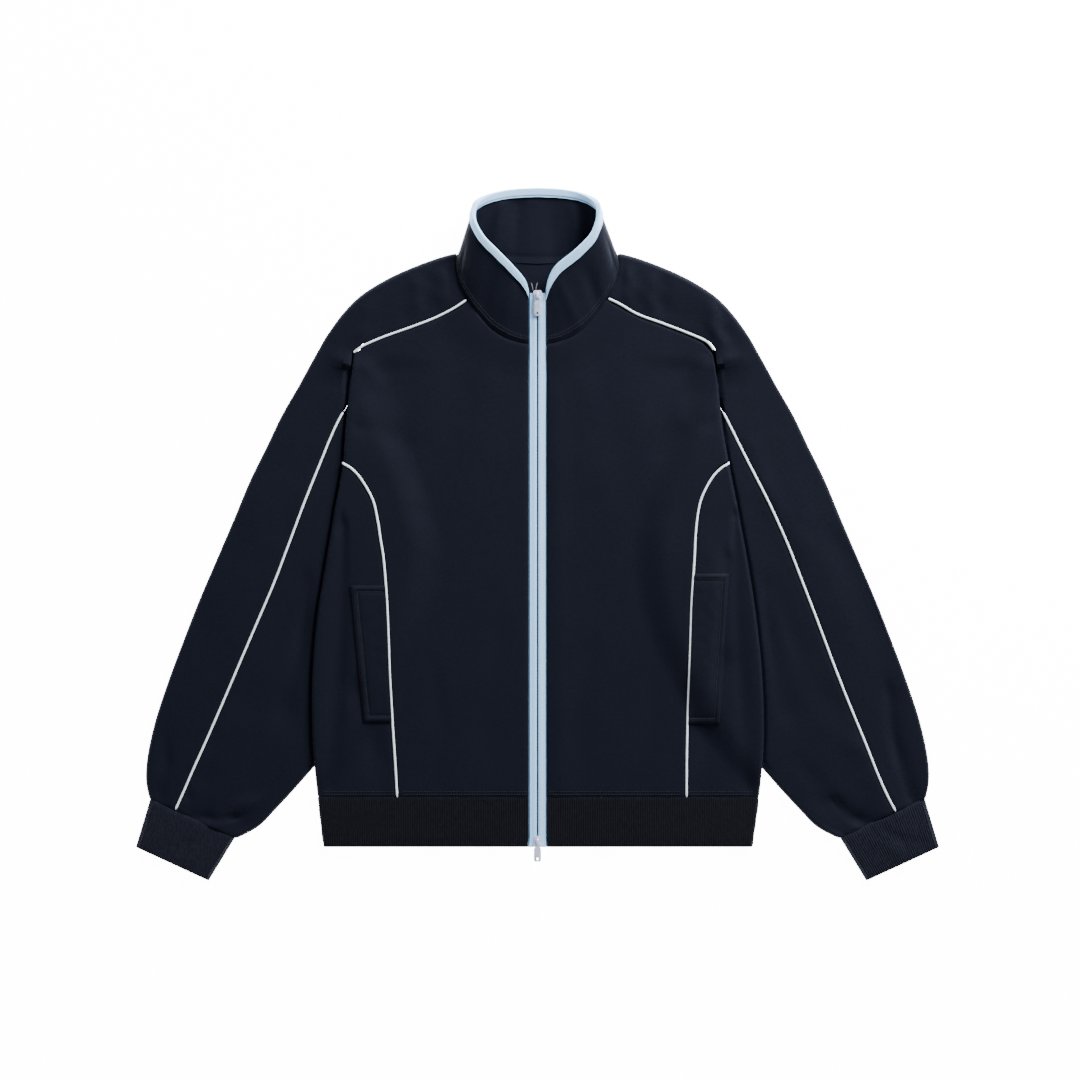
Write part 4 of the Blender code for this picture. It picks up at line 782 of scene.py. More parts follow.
def finish_piece(name, mesh, look, body=BODY):
    """A smooth-shaded object from a bmesh with its faces outwards, riding on its body."""
    bmesh.ops.recalc_face_normals(mesh, faces=mesh.faces[:])
    data = bpy.data.meshes.new(name)
    mesh.to_mesh(data)
    mesh.free()
    data.shade_smooth()
    data.set_sharp_from_angle(angle=math.radians(50))
    piece = bpy.data.objects.new(name, data)
    bpy.context.scene.collection.objects.link(piece)
    data.materials.append(look)
    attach(piece, body)
    return piece


def vectors(grid):
    return [[Vector(p) for p in line] for line in grid]


# ---------------------------------------------------------------- body panels
def front_grid(side):
    """The centre front's girth places (w, y), finer than its solid's."""
    near = (0.0025, 0.006, 0.011)
    inner_columns = refine(spread(6, 0.0, NECK_SHARE), 4)
    outer_columns = [1 - step * (1 - NECK_SHARE) for step in SADDLE_STEPS[::-1]]
    outer_columns = refine(outer_columns, 5)
    columns = inner_columns[:-1] + outer_columns
    columns = sorted(set(columns) | {NECK_SHARE * share for share in near})
    knee_u = 1 - 3 / 18 * (1 - NECK_SHARE)
    knee_column = min(range(len(columns)), key=lambda i: abs(columns[i] - knee_u))
    seam_rows = [step * SEAM_SHARE for step in SEAM_STEPS] + spread(7, SEAM_SHARE, 1.0)[1:]
    rows = refine(seam_rows, 7, (0.0015, 0.004, 0.008))
    grid = patch(lambda u: (mix(FRONT_EDGE, front_side_line(side, 0)[0], u), HEM_SEAM_Y),
                 lambda u: front_top_line(side, u),
                 lambda v: (FRONT_EDGE, mix(HEM_SEAM_Y, NECK_FRONT[0]["y"], v)),
                 lambda v: front_side_line(side, v), columns, rows)
    places = []
    last_column = len(columns) - 1
    for line in grid:
        last, last_y = line[-1]
        knee = min(body_edge(side, last_y) - laid_height(last_y) / 2, last - FOLD_WIDTH)
        stretch = (knee - FRONT_EDGE) / (line[knee_column][0] - FRONT_EDGE)
        row = []
        for j, (w, y) in enumerate(line):
            if j <= knee_column:
                row.append((FRONT_EDGE + (w - FRONT_EDGE) * stretch, y))
            else:
                share = (j - knee_column) / (last_column - knee_column)
                row.append(mix((knee, line[knee_column][1]), line[-1], share))
        places.append(row)
    return places


def body_panel(name, side, places, rolled, seed):
    """A body panel's shell over a grid of girth places (w, y)."""
    outer = [[Vector(body_point(side, w, y)) for w, y in line] for line in places]
    inner = [[Vector(body_inner(side, w, y)) for w, y in line] for line in places]
    grid = roll_edges(outer, side == "left", rolled, seed=seed)
    return shell(name + side, grid, CLOTH, cloth_look, inner=inner)


def build_front(side):
    piece = body_panel("front_cloth_", side, front_grid(side), (0, 1, 2, 3), SIDES[side])
    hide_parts("front_" + side)


def side_row(side, v, places):
    """Girth places (w, y) of one line of the side panel, from the curved seam to the seam behind."""
    near = beside_seam(side, v, SEAM_SPACE)
    back_y = mix(HEM_SEAM_Y, UNDERARM_Y, v)
    far = (under_girth(side, lookup(BACK_SEAM, "y", back_y, "x"), back_y), back_y)
    row = []
    for t in places:
        y = mix(near[1], far[1], t)
        radius = laid_height(y) / 2
        start = max(body_edge(side, y) - radius, near[0] + 0.003)
        stop = max(body_edge(side, y) - radius + math.pi * radius, start + 0.004)
        welt = max(lookup(WELT_EDGE, "y", y, side), mix(near[0], start, 0.25))
        welt = min(welt, mix(near[0], start, 0.75))
        if t <= WELT_T:
            w = mix(near[0], welt, t / WELT_T)
        elif t < 0.45:
            w = mix(welt, start, (t - WELT_T) / (0.45 - WELT_T))
        elif t < 0.7:
            w = mix(start, stop, (t - 0.45) / 0.25)
        else:
            w = mix(stop, far[0], (t - 0.7) / 0.3)
        row.append((w, y))
    return row


SIDE_PLACES = refine(spread(4, 0.0, WELT_T), 5, (0.004, 0.012))[:-1] + refine([WELT_T, 0.45], 8)[:-1]
SIDE_PLACES += refine(spread(5, 0.45, 0.7), 4)[:-1] + refine(spread(4, 0.7, 1.0), 4)


def build_side(side):
    places = [side_row(side, v, SIDE_PLACES) for v in refine(SEAM_STEPS, 8, (0.002, 0.005, 0.01))]
    piece = body_panel("side_cloth_", side, places, (0, 2), 3 + SIDES[side])
    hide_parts("side_" + side)


def back_edge(side, v):
    """Plan point of the back's side: side seam, back armhole, back saddle seam."""
    if v <= 0.5:
        y = mix(HEM_SEAM_Y, UNDERARM_Y, v / 0.5)
        return (lookup(BACK_SEAM, "y", y, "x") - 3 * GAP, y)
    if v <= 0.7:
        start = (lookup(BACK_SEAM, "y", UNDERARM_Y, "x") - 3 * GAP, UNDERARM_Y)
        return mix(start, (SADDLE[0]["back"][0] - 0.0015, 0.1830), (v - 0.5) / 0.2)
    x, y = spline([row["back"] for row in SADDLE], (v - 0.7) / 0.3)
    return (x - 0.0015, y - 0.0012)


BACK_LIFTS = table(
    "side start end bow width depth steep",
    ("left", (0.06, 0.18), (0.1, 0.02), 0.01, 0.02, 0.0011, 0.7),
    ("right", (0.05, 0.19), (0.09, 0.04), 0.01, 0.018, 0.0012, 0.7),
    ("left", (0.08, -0.12), (0.11, -0.285), -0.006, 0.016, 0.0009, 1.2),
    ("right", (0.07, -0.1), (0.1, -0.285), 0.006, 0.016, 0.001, 1.2),
    ("left", (0.01, 0.08), (0.02, -0.08), 0.006, 0.018, 0.0007, 1.0),
    ("right", (0.012, -0.16), (0.02, -0.27), 0.005, 0.016, 0.0007, 1.0),
)


def build_back():
    """The back, on the floor but for shallow creases and its sides on the hidden sleeves."""
    rows = refine(spread(11, 0.0, 0.5)[:-1] + spread(5, 0.5, 0.7)[:-1] + spread(8, 0.7, 1.0), 5)
    outer = []
    for v in rows:
        line = []
        for side in SIDES:
            half = []
            x_edge, y_edge = back_edge(side, v)
            y_middle = mix(HEM_SEAM_Y, COLLAR[-1]["seam"][1] + GAP, v)
            inner = lookup(SLEEVE_INNER, "y", y_edge, "x")
            knee = min(inner - TUCK_RAMP, x_edge - TUCK_RAMP - 0.003)
            places = [knee * i / 18 for i in range(18)]
            places += [mix(knee, x_edge, i / 16) for i in range(17)]
            for x in places:
                y = mix(y_middle, y_edge, (x / x_edge) ** 1.5)
                lift = max(creases(BACK_LIFTS, side, x, y), 0.0) * smooth((y - HEM_SEAM_Y) / 0.02)
                half.append(Vector((SIDES[side] * x, y, back_tuck(x, y) + lift)))
            line += half[::-1] if side == "left" else half[1:]
        outer.append(line)
    inner = [[p + Vector((0, 0, CLOTH)) for p in line] for line in outer]
    piece = shell("back_cloth", outer, CLOTH, cloth_look, inner=inner)
    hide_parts("back")


# ---------------------------------------------------------------- sleeves
def build_sleeve_upper(side):
    """Saddle, shoulder and upper sleeve in one piece, from the cuff seam to the collar."""
    steps = refine(SLEEVE_STEPS, 7, (0.0012, 0.003, 0.006))
    outer = [upper_section(side, t) for t in steps]
    first = SADDLE[0]
    start = (first["outer"], first[side], first["back"], 0.0)
    begin = saddle_row(side, 0.0)
    for i in range(4):
        row = tuple(mix(a, b, i / 4) for a, b in zip(start, begin))
        outer.append(saddle_section(side, row, mix(0.0, 0.1, i / 4)))
    for step in refine(SADDLE_STEPS, 6, (0.006, 0.015)):
        outer.append(saddle_section(side, saddle_row(side, step), 0.1 + step))
    outer.append(saddle_section(side, (*saddle_row(side, 1.05)[:3], 0.003), 1.1))
    grid = roll_edges(vectors(outer), side == "right", (1, 2, 3), seed=11 + SIDES[side])
    piece = shell("sleeve_cloth_upper_" + side, grid, CLOTH, cloth_look, side == "right")
    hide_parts("sleeve_upper_" + side)


def build_sleeve_under(side):
    """Under sleeve: from the piped seam round the inner fold to the seam behind."""
    outer = []
    for t in refine(SLEEVE_STEPS, 7, (0.0012, 0.003, 0.006)):
        _, seam, inner = sleeve_row(side, t)
        length = math.dist(seam, inner)
        inner_height = min(LAID, sleeve_cover(side, *inner))
        radius = inner_height / 2
        stop = length - radius
        dip = min(max(body_crossing(side, seam, inner) - 0.012, SEAM_SPACE + 0.004), stop - 0.016)
        line = []
        for distance in (refine([SEAM_SPACE, dip], 12, (0.02, 0.05)) + spread(8, dip, dip + 0.0125)[1:]
                         + spread(12, dip + 0.0125, stop)[1:]):
            x, y = mix(seam, inner, distance / length)
            z = sleeve_top(side, x, y, LAID)
            z = mix(z, inner_height, smooth((distance - stop + 0.006) / 0.006))
            line.append(Vector((SIDES[side] * x, y, z)))
        for s in spread(11)[1:-1]:
            angle = math.pi * s
            x, y = mix(seam, inner, (stop + radius * math.sin(angle)) / length)
            line.append(Vector((SIDES[side] * x, y, radius + radius * math.cos(angle))))
        for distance in spread(14, stop, GAP / 2):
            x, y = mix(seam, inner, distance / length)
            line.append(Vector((SIDES[side] * x, y, under_lift(side, x, y, distance, length))))
        outer.append(line)
    grid = roll_edges(outer, side == "right", (0, 2), seed=21 + SIDES[side])
    piece = shell("sleeve_cloth_under_" + side, grid, CLOTH, cloth_look, side == "right")
    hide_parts("sleeve_under_" + side)


def under_lift(side, x, y, distance, length):
    """Shallow creases in the cloth under the sleeve, none at its folds."""
    lift = creases(UNDER_LIFTS, side, x, y)
    inside = smooth(distance / 0.02) * smooth((length - distance) / 0.02)
    return max(lift, 0.0) * inside


UNDER_LIFTS = table(
    "side start end bow width depth steep",
    ("left", (0.33, -0.09), (0.39, -0.24), 0.006, 0.012, 0.0009, 0.7),
    ("right", (0.32, -0.07), (0.385, -0.25), 0.006, 0.012, 0.001, 0.7),
    ("left", (0.28, -0.06), (0.32, -0.22), -0.006, 0.012, 0.0008, 1.2),
    ("right", (0.27, -0.05), (0.33, -0.26), -0.006, 0.012, 0.0008, 1.2),
)


# ---------------------------------------------------------------- rib bands
FINE_RIB = 0.0026         # rib pitch of the knitted bands
FINE_DEPTH = 0.0008
RIB_SAMPLES = 6           # places along one rib's width
CUFF_WIDTH = 0.092        # the flat cuff, fold to fold


def rib(run, seed=0.0):
    """Height of the rounded rib at a distance along the band."""
    shift = 0.12 * noise.noise(Vector((run / 0.02, seed, 0.0)))
    return FINE_DEPTH * abs(math.sin(math.pi * (run / FINE_RIB + shift))) ** 0.7


def hem_fold(side, y, height):
    """Half-way round the band: (x, z, outward x, outward z) from the zip to mid back."""
    start = body_edge(side, y) - LAID / 2
    step = FINE_RIB / RIB_SAMPLES
    front = FRONT_EDGE + zip_spread(y)
    radius = height / 2
    line = [(w, height, 0.0, 1.0) for w in spread(int((start - front) / step), front, start)]
    for t in spread(25)[1:-1]:
        angle = math.pi * t
        line.append((start + radius * math.sin(angle), radius + radius * math.cos(angle),
                     math.sin(angle), math.cos(angle)))
    line += [(x, 0.0, 0.0, -1.0) for x in spread(int(start / (2 * step)), start, 0.0)]
    return line


def build_hem():
    """The rib band from the zip round both side folds and across the back."""
    ys = [HEM_BOTTOM_Y, HEM_BOTTOM_Y + 0.0006, HEM_BOTTOM_Y + 0.0018] + spread(9, -0.353, -0.304)
    ys += [HEM_SEAM_Y - 0.0022, HEM_SEAM_Y - 0.0012, HEM_SEAM_Y - 0.0001]
    outer, inner = [], []
    counts = {side: len(hem_fold(side, HEM_SEAM_Y, LAID)) for side in SIDES}
    for y in ys:
        ends = min(y - HEM_BOTTOM_Y, HEM_SEAM_Y - y) / 0.0025
        pinch = 0.0006 * (1 - smooth(ends))
        out_line, in_line = [], []
        for side in SIDES:
            out_half, in_half = [], []
            places = hem_fold(side, y, LAID - FINE_DEPTH)
            for i in range(counts[side]):
                x, z, nx, nz = spaced(places, i / (counts[side] - 1))
                sag = 0.0
                if nz > 0.9:
                    sag = 0.0004 * noise.noise(Vector((x / 0.030, y / 0.06, SIDES[side] * 3)))
                under = 0.0 if nz < -0.9 else 1.0
                lift = (rib(x, y * 40) - pinch + sag) * under
                if nz < -0.9:
                    lift = -rib(x) * 0.8
                out_half.append(Vector((SIDES[side] * (x + nx * lift), y, max(z + nz * lift, 0.0))))
                depth = CLOTH - FINE_DEPTH
                in_half.append(Vector((SIDES[side] * (x - nx * depth), y, z - nz * depth)))
            if side == "right":
                out_half, in_half = out_half[::-1][1:], in_half[::-1][1:]
            out_line += out_half
            in_line += in_half
        outer.append(out_line)
        inner.append(in_line)
    piece = shell("hem_rib_knit", outer, CLOTH, rib_look, inner=inner)
    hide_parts("hem_rib")


def spaced(line, share):
    """A point of a list of tuples at a share of its count."""
    place = share * (len(line) - 1)
    i = min(int(place), len(line) - 2)
    return mix(line[i], line[i + 1], place - i)


def build_cuff(side):
    """Rib tube, its ribs running along the sleeve all round, pulled in a little by its seam."""
    outer, inner = [], []
    height = LAID - FINE_DEPTH
    radius = height / 2
    hole = radius - CLOTH + FINE_DEPTH
    stations = [0.0, 0.012, 0.04] + spread(10, 0.1, 0.9) + [0.955, 0.985, 1.0, 1.012, 1.045]
    for share in stations:
        a = mix(CUFF["end_outer"], CUFF["seam_outer"], share)
        b = mix(CUFF["end_inner"], CUFF["seam_inner"], share)
        length = math.dist(a, b)
        pinch = 0.0005 * (1 - smooth(min(share, 1 - share) / 0.06)) + 0.0012 * (share > 1)
        out_line, in_line = [], []

        def place(distance, z):
            return Vector(section_point(side, a, b, distance, z))

        for upper in (True, False):
            for s in spread(int(CUFF_WIDTH / FINE_RIB) * RIB_SAMPLES):
                s = s if upper else 1 - s
                distance = radius + (length - 2 * radius) * s
                crumple = crumples(side, *mix(a, b, distance / length)) if upper else 0.0
                lift = rib(s * CUFF_WIDTH, share * 0.6) - pinch + crumple
                out_line.append(place(distance, height + lift if upper else 0.0))
                low = height - CLOTH + FINE_DEPTH + crumple
                in_line.append(place(distance, low if upper else CLOTH))
            middle = length - radius if upper else radius
            for t in spread(11)[1:-1]:
                angle = math.pi * (t if upper else t + 1)
                for line, reach in ((out_line, radius), (in_line, hole)):
                    line.append(place(middle + reach * math.sin(angle),
                                      radius + reach * math.cos(angle)))
        outer.append(out_line)
        inner.append(in_line)
    piece = shell("cuff_rib_" + side, outer, CLOTH, cuff_painted_light_look, closed=True, inner=inner)
    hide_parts("cuff_" + side)


CUFF_CRUMPLES = table(
    "side start end bow width depth steep",
    ("right", (0.398, -0.338), (0.436, -0.352), 0.004, 0.007, -0.0011, 0.7),
    ("right", (0.386, -0.352), (0.42, -0.371), -0.003, 0.006, 0.0008, 1.3),
    ("left", (0.38, -0.345), (0.42, -0.36), 0.004, 0.009, -0.0006, 0.8),
)


def crumples(side, x, y):
    return creases(CUFF_CRUMPLES, side, x, y) + 1.4 * wave(x, y, 3.0)


# ---------------------------------------------------------------- collar
def collar_relief(t, v):
    """How far the collar's cloth stands out or in at a place: its creases and its seam roll."""
    total = 0.0
    for crease in COLLAR_CREASES:
        total += crease["depth"] * math.exp(-((t - crease["t"]) / crease["reach_t"]) ** 2
                                            - ((v - crease["v"]) / crease["reach_v"]) ** 2)
    total *= 1 - smooth((v - 0.78) / 0.14)
    total += 0.0004 * noise.noise(Vector((t * 14, v * 2.0, 2.0)))
    total -= 0.0007 * math.exp(-(v - COLLAR_START) / 0.03)
    total += 0.0005 * math.exp(-((v - 0.085) / 0.035) ** 2)
    return total


def collar_surface(t, v):
    place = collar_point(t, v) + collar_normal(t, v)[0] * collar_relief(t, v)
    place.z = max(place.z, 0.0)
    return place


def build_collar():
    stations = [-1 + 2 * i / 240 for i in range(241)]
    heights = sorted(set(spread(26, COLLAR_START, 1.0))
                     | {COLLAR_START + 0.008, 0.05, 0.07, 0.09, 0.11, 0.13})
    outer = [[collar_surface(t, v) for t in stations] for v in heights]
    inner = [[collar_point(t, v) + collar_normal(t, v)[0] * (0.9 * collar_relief(t, v) - COLLAR_WALL)
              for t in stations] for v in heights]
    piece = shell("collar_cloth", outer, COLLAR_WALL, cloth_look, inner=inner)
    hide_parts("collar")


def build_binding():
    """Soft binding folded over the rim, edge-stitched, with small waves along its edges."""
    stations = [-1 + 2 * i / 420 for i in range(421)]
    near, far = BINDING_GAP, BINDING_GAP + BINDING_WALL
    outer, inner = [], []
    for t in stations:
        normal, up = collar_normal(t, 0.99)
        rim = collar_point(t, 1.0)
        drop = binding_width(t) + 0.0003 * noise.noise(Vector((t * 30, 0.0, 4.0)))
        out_line, in_line = [], []
        for across, along, sink in binding_path(drop, near, far):
            wobble = 0.00018 * noise.noise(Vector((t * 60, along[0] * 200, 1.0)))
            out_line.append(rim + normal * (across[0] - sink + wobble) + up * along[0])
            in_line.append(rim + normal * across[1] + up * along[1])
        outer.append([Vector((p.x, p.y, max(p.z, 0.0))) for p in out_line])
        inner.append([Vector((p.x, p.y, max(p.z, 0.0))) for p in in_line])
    piece = shell("collar_binding_cloth", outer, BINDING_WALL, binding_look, inner=inner)
    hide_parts("collar_binding")


def binding_width(t):
    """The binding is folded over a little further on the right half."""
    return BINDING_WIDTH * (0.80 + 0.20 * smooth((t + 0.7) / 0.5))


def binding_path(drop, near, far):
    """Across and along places of the binding's outer and inner faces, and its stitch groove."""
    path = []
    for s in (1.0, 0.94, 0.85, 0.79, 0.74, 0.6, 0.4, 0.2):
        groove = 0.0005 * math.exp(-((s - 0.80) / 0.045) ** 2) + (0.0003 if s == 1.0 else 0.0)
        path.append(((far, near), (-drop * s, -drop * s), groove))
    middle = -COLLAR_WALL / 2
    for k in range(13):
        angle = math.pi * k / 12
        half_out, half_in = far - middle, near - middle
        path.append(((middle + half_out * math.cos(angle), middle + half_in * math.cos(angle)),
                     (0.0013 * math.sin(angle) * 1.3, 0.0006 * math.sin(angle)), 0.0))
    for s in (0.2, 0.4, 0.6, 0.72, 0.77, 0.82, 0.88, 0.95, 1.0):
        groove = 0.0005 * math.exp(-((s - 0.80) / 0.045) ** 2)
        path.append(((-COLLAR_WALL - far, -COLLAR_WALL - near), (-drop * s, -drop * s), -groove))
    return path


# ---------------------------------------------------------------- zip
NECK_NOTCH_Y = 0.2168     # the hidden flange is cut in where the neck seam crosses it


def build_tape(side):
    """Woven zip tape with its sewn groove, beside the zip line, and its hidden flange."""
    outer, inner = [], []
    ys = spread(150, HEM_BOTTOM_Y, 0.200) + spread(24, 0.203, ZIP_TOP_Y)
    for y in ys:
        drop = mix(0.0027, 0.0047, smooth((y - 0.195) / 0.018))
        low = drop + TAPE_WALL * 0.8
        flange = mix(TAPE_FLANGE, TAPE_OUT + 0.0004, math.exp(-((y - NECK_NOTCH_Y) / 0.0050) ** 2))
        ripple = 0.00012 * noise.noise(Vector((y / 0.008, SIDES[side], 0.0)))
        face = 0.0003 - ripple
        outside = [(TAPE_IN + 0.0003, face + 0.00040), (TAPE_IN + 0.0008, face), (0.0030, face - 0.0001),
                   (0.0058, face), (0.0066, face + 0.00030), (0.0072, face + 0.00030),
                   (0.0078, face), (TAPE_OUT - 0.0008, face + 0.0001),
                   (TAPE_OUT - 0.0003, 0.0009), (TAPE_OUT + 0.0001, drop), (flange, drop)]
        back = face + TAPE_WALL
        inside = [(TAPE_IN + 0.0003, back), (TAPE_IN + 0.0008, back), (0.0030, back), (0.0052, back),
                  (0.0058, back), (0.0063, back), (0.0068, back), (TAPE_OUT - 0.0020, back),
                  (TAPE_OUT - 0.0012, 0.0022), (TAPE_OUT - 0.0008, low), (flange, low)]
        shift, top = zip_spread(y), zip_height(y)
        outer.append([Vector((SIDES[side] * (x + shift * (x < 0.0095)), y, top - z)) for x, z in outside])
        inner.append([Vector((SIDES[side] * (x + shift * (x < 0.0095)), y, top - z)) for x, z in inside])
    piece = shell("zip_tape_weave_" + side, outer, TAPE_WALL, tape_look, inner=inner)
    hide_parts("zip_tape_" + side)


COIL_PITCH = 0.0016


def build_coil():
    """The closed nylon coil behind the tapes: rounded loops that meet on the zip line."""
    mesh = bmesh.new()
    low_y, high_y = LOWER_SLIDER_Y + 0.006, UPPER_SLIDER_Y - 0.006
    count = int((high_y - low_y) / COIL_PITCH)
    for i in range(count):
        y = low_y + (i + 0.5) * COIL_PITCH
        hand = 1 if i % 2 else -1
        top = zip_height(y) - 0.0019
        loop = [(-0.0002 * hand, 0.0), (0.0008 * hand, 0.0002), (0.0020 * hand, 0.0001),
                (0.0027 * hand, -0.0004)]
        rings = []
        for x, rise in loop:
            rings.append([mesh.verts.new((x, y + 0.00052 * math.cos(angle),
                                          top + rise * 0.5 + 0.00042 * math.sin(angle)))
                          for angle in turns(6)])
        skin(mesh, rings)
    piece = finish_piece("zip_coil", mesh, coil_look)
    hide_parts("zip_chain")


def plate(mesh, rows, low, high, bevel):
    """A flat plate whose half widths are given along Y, with bevelled edges."""
    made = []
    for z in (low, high):
        ring = [mesh.verts.new((half, y, z)) for y, half in rows]
        ring += [mesh.verts.new((-half, y, z)) for y, half in rows[::-1]]
        made.append(ring)
    faces = [mesh.faces.new(made[0][::-1]), mesh.faces.new(made[1])]
    count = len(made[0])
    for k in range(count):
        faces.append(mesh.faces.new((made[0][k], made[0][(k + 1) % count],
                                     made[1][(k + 1) % count], made[1][k])))
    bmesh.ops.recalc_face_normals(mesh, faces=faces)
    edges = {edge for face in faces[:2] for edge in face.edges}
    bmesh.ops.bevel(mesh, geom=list(edges), offset=bevel, segments=3, affect="EDGES", profile=0.6)


SLIDER_ROWS = [(-0.0060, 0.0026), (-0.0050, 0.0033), (-0.0025, 0.0036), (0.0005, 0.0041),
               (0.0030, 0.0048), (0.0048, 0.0046), (0.0060, 0.0034)]


def arch(mesh, half_width, reach, rise, thick):
    """The bridge over the slider that holds its pull: a rounded strap."""
    steps, sides = 14, 8
    rings = []
    for i in range(steps + 1):
        angle = math.pi * i / steps
        y = -reach * math.cos(angle)
        z = 0.0006 + rise * math.sin(angle) ** 0.7
        away = Vector((0.0, -math.cos(angle), math.sin(angle) ** 0.7 + 0.2)).normalized()
        ring = []
        for k in range(sides):
            turn = 2 * math.pi * (k + 0.5) / sides
            side = half_width * max(min(1.35 * math.cos(turn), 1.0), -1.0)
            depth = thick / 2 * max(min(1.35 * math.sin(turn), 1.0), -1.0)
            ring.append(mesh.verts.new(Vector((side, y, z)) + away * (depth - thick / 2)))
        rings.append(ring)
    skin(mesh, rings)


def build_slider(name, node, y, slope, up):
    """Slider: a winged top plate with bevelled edges and the bridge."""
    mesh = bmesh.new()
    plate(mesh, SLIDER_ROWS, 0.0, 0.0010, 0.0003)
    arch(mesh, BRIDGE["half_width"], 0.0040, BRIDGE["rise"] + 0.0001, BRIDGE["wall"])
    bmesh.ops.recalc_face_normals(mesh, faces=mesh.faces[:])
    turn = 0.0 if up else math.pi
    place_tilted(mesh, (0, y, zip_height(y)), slope, turn)
    piece = finish_piece(name, mesh, metal_look)
    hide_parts(node)


def place_tilted(mesh, where, tilt, turn):
    """Tilt a piece about X, turn it about Z and put it in its place."""
    placed = Matrix.Translation(where) @ Matrix.Rotation(turn, 4, "Z") @ Matrix.Rotation(
        tilt if turn == 0 else -tilt, 4, "X")
    bmesh.ops.transform(mesh, matrix=placed, verts=mesh.verts)


def ring_of(half_x, low_y, high_y, count, power):
    """A rounded outline between two y places, with the given half width."""
    middle, reach = (low_y + high_y) / 2, (high_y - low_y) / 2
    ring = []
    for k in range(count):
        angle = 2 * math.pi * (k + 0.5) / count
        c, s = math.cos(angle), math.sin(angle)
        ring.append((half_x * math.copysign(abs(c) ** power, c),
                     middle + reach * math.copysign(abs(s) ** power, s)))
    return ring


PULL_EASE = 0.00018       # eased edge of the pull tab


def build_pull(name, node, body, y, slope):
    """Pull tab: a tapered rounded plate with a slot for the bridge and a small eye."""
    size = PULL
    mesh = bmesh.new()
    end, bar = -size["length"], -size["bar"]
    narrow, wide = size["half_width"] * 0.84, size["half_width"]
    half = size["wall"] / 2
    slot_low = bar - size["slot_length"]
    parts = [
        {"low": slot_low - 0.0016, "high": size["bar"], "half": narrow,
         "hole": (size["slot"], slot_low, bar)},
        {"low": end, "high": slot_low - 0.0016, "half": wide,
         "hole": (0.0010, end + 0.0020, end + 0.0048)},
    ]
    count = 32
    outline = []
    for part in parts:
        outline.append((ring_of(part["half"], part["low"], part["high"], count, 0.35),
                        ring_of(part["hole"][0], part["hole"][1], part["hole"][2], count, 0.55)))
    for index, (outside, hole) in enumerate(outline):
        centre = parts[0]["low"] if index else -0.0025
        rows = []
        for z, shrink in ((-half, PULL_EASE), (-half + PULL_EASE, 0.0),
                          (half - PULL_EASE, 0.0), (half, PULL_EASE)):
            rows.append([mesh.verts.new((x - math.copysign(shrink, x),
                                         q + shrink * (1 if q < centre else -1) * 0.5, z))
                         for x, q in outside])
        inner_low = [mesh.verts.new((x, q, -half)) for x, q in hole]
        inner_high = [mesh.verts.new((x, q, half)) for x, q in hole]
        for k in range(count):
            n = (k + 1) % count
            for a, b in zip(rows, rows[1:]):
                mesh.faces.new((a[k], a[n], b[n], b[k]))
            mesh.faces.new((inner_low[k], inner_high[k], inner_high[n], inner_low[n]))
            mesh.faces.new((rows[-1][k], rows[-1][n], inner_high[n], inner_high[k]))
            mesh.faces.new((rows[0][k], inner_low[k], inner_low[n], rows[0][n]))
    bmesh.ops.recalc_face_normals(mesh, faces=mesh.faces[:])
    along, above = size["hinge_y"], size["hinge_z"]
    where = (0, y + along * math.cos(slope) - above * math.sin(slope),
             zip_height(y) + along * math.sin(slope) + above * math.cos(slope))
    place_tilted(mesh, where, slope + size["tilt"], 0.0)
    piece = finish_piece(name, mesh, metal_look, body)
    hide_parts(node)


# ---------------------------------------------------------------- pockets, piping, stitches
def welt_grid(side, lift):
    """Points over the side panel between the welt's straight ends, moved out."""
    places = refine(spread(4, 0.0, WELT_T), 9)
    rows = [[Vector(body_point(side, w, y)) for w, y in side_row(side, v, places)]
            for v in refine(SEAM_STEPS[:10], 8)]
    columns = list(zip(*rows))
    lines = []
    for y in spread(110, *WELT_ENDS[side]):
        line = []
        for column in columns:
            i = sum(1 for point in column[1:-1] if point.y < y)
            share = (y - column[i].y) / (column[i + 1].y - column[i].y)
            line.append(column[i].lerp(column[i + 1], share) + Vector((0, 0, lift)))
        lines.append(line)
    return lines


WELT_LIFT = GAP * 2.2     # from the side panel to the welt
WELT_STITCH = 0.0074      # from the welt's edges to its stitching


def build_welt(side):
    """Slanted pocket welt: edges turned down, a soft raised band and a stitched groove."""
    grid = welt_grid(side, WELT_LIFT + WELT_WALL)
    outer = []
    for line, ds in zip(grid, edge_distances(grid)):
        new = []
        for p, d in zip(line, ds):
            gap = min(d[1], d[2], d[3])
            drop = 0.0010 * math.exp(-(gap / 0.0012) ** 2)
            drop += 0.0007 * math.exp(-((gap - WELT_STITCH) / 0.0013) ** 2)
            puff = 0.0006 * math.exp(-((gap - 0.0038) / 0.0022) ** 2)
            puff += 0.0003 * smooth((gap - 0.008) / 0.01)
            puff += 0.0003 * noise.noise(Vector((p.x / 0.01, p.y / 0.012, 5.0)))
            new.append(p + Vector((0, 0, puff - drop)))
        outer.append(new)
    piece = shell("pocket_welt_cloth_" + side, outer, WELT_WALL, welt_look,
                  inner=welt_grid(side, WELT_LIFT))
    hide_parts("pocket_welt_" + side)
    stitch_line("welt_stitches_" + side, welt_stitch_path(outer), 0.0030, thread_look)


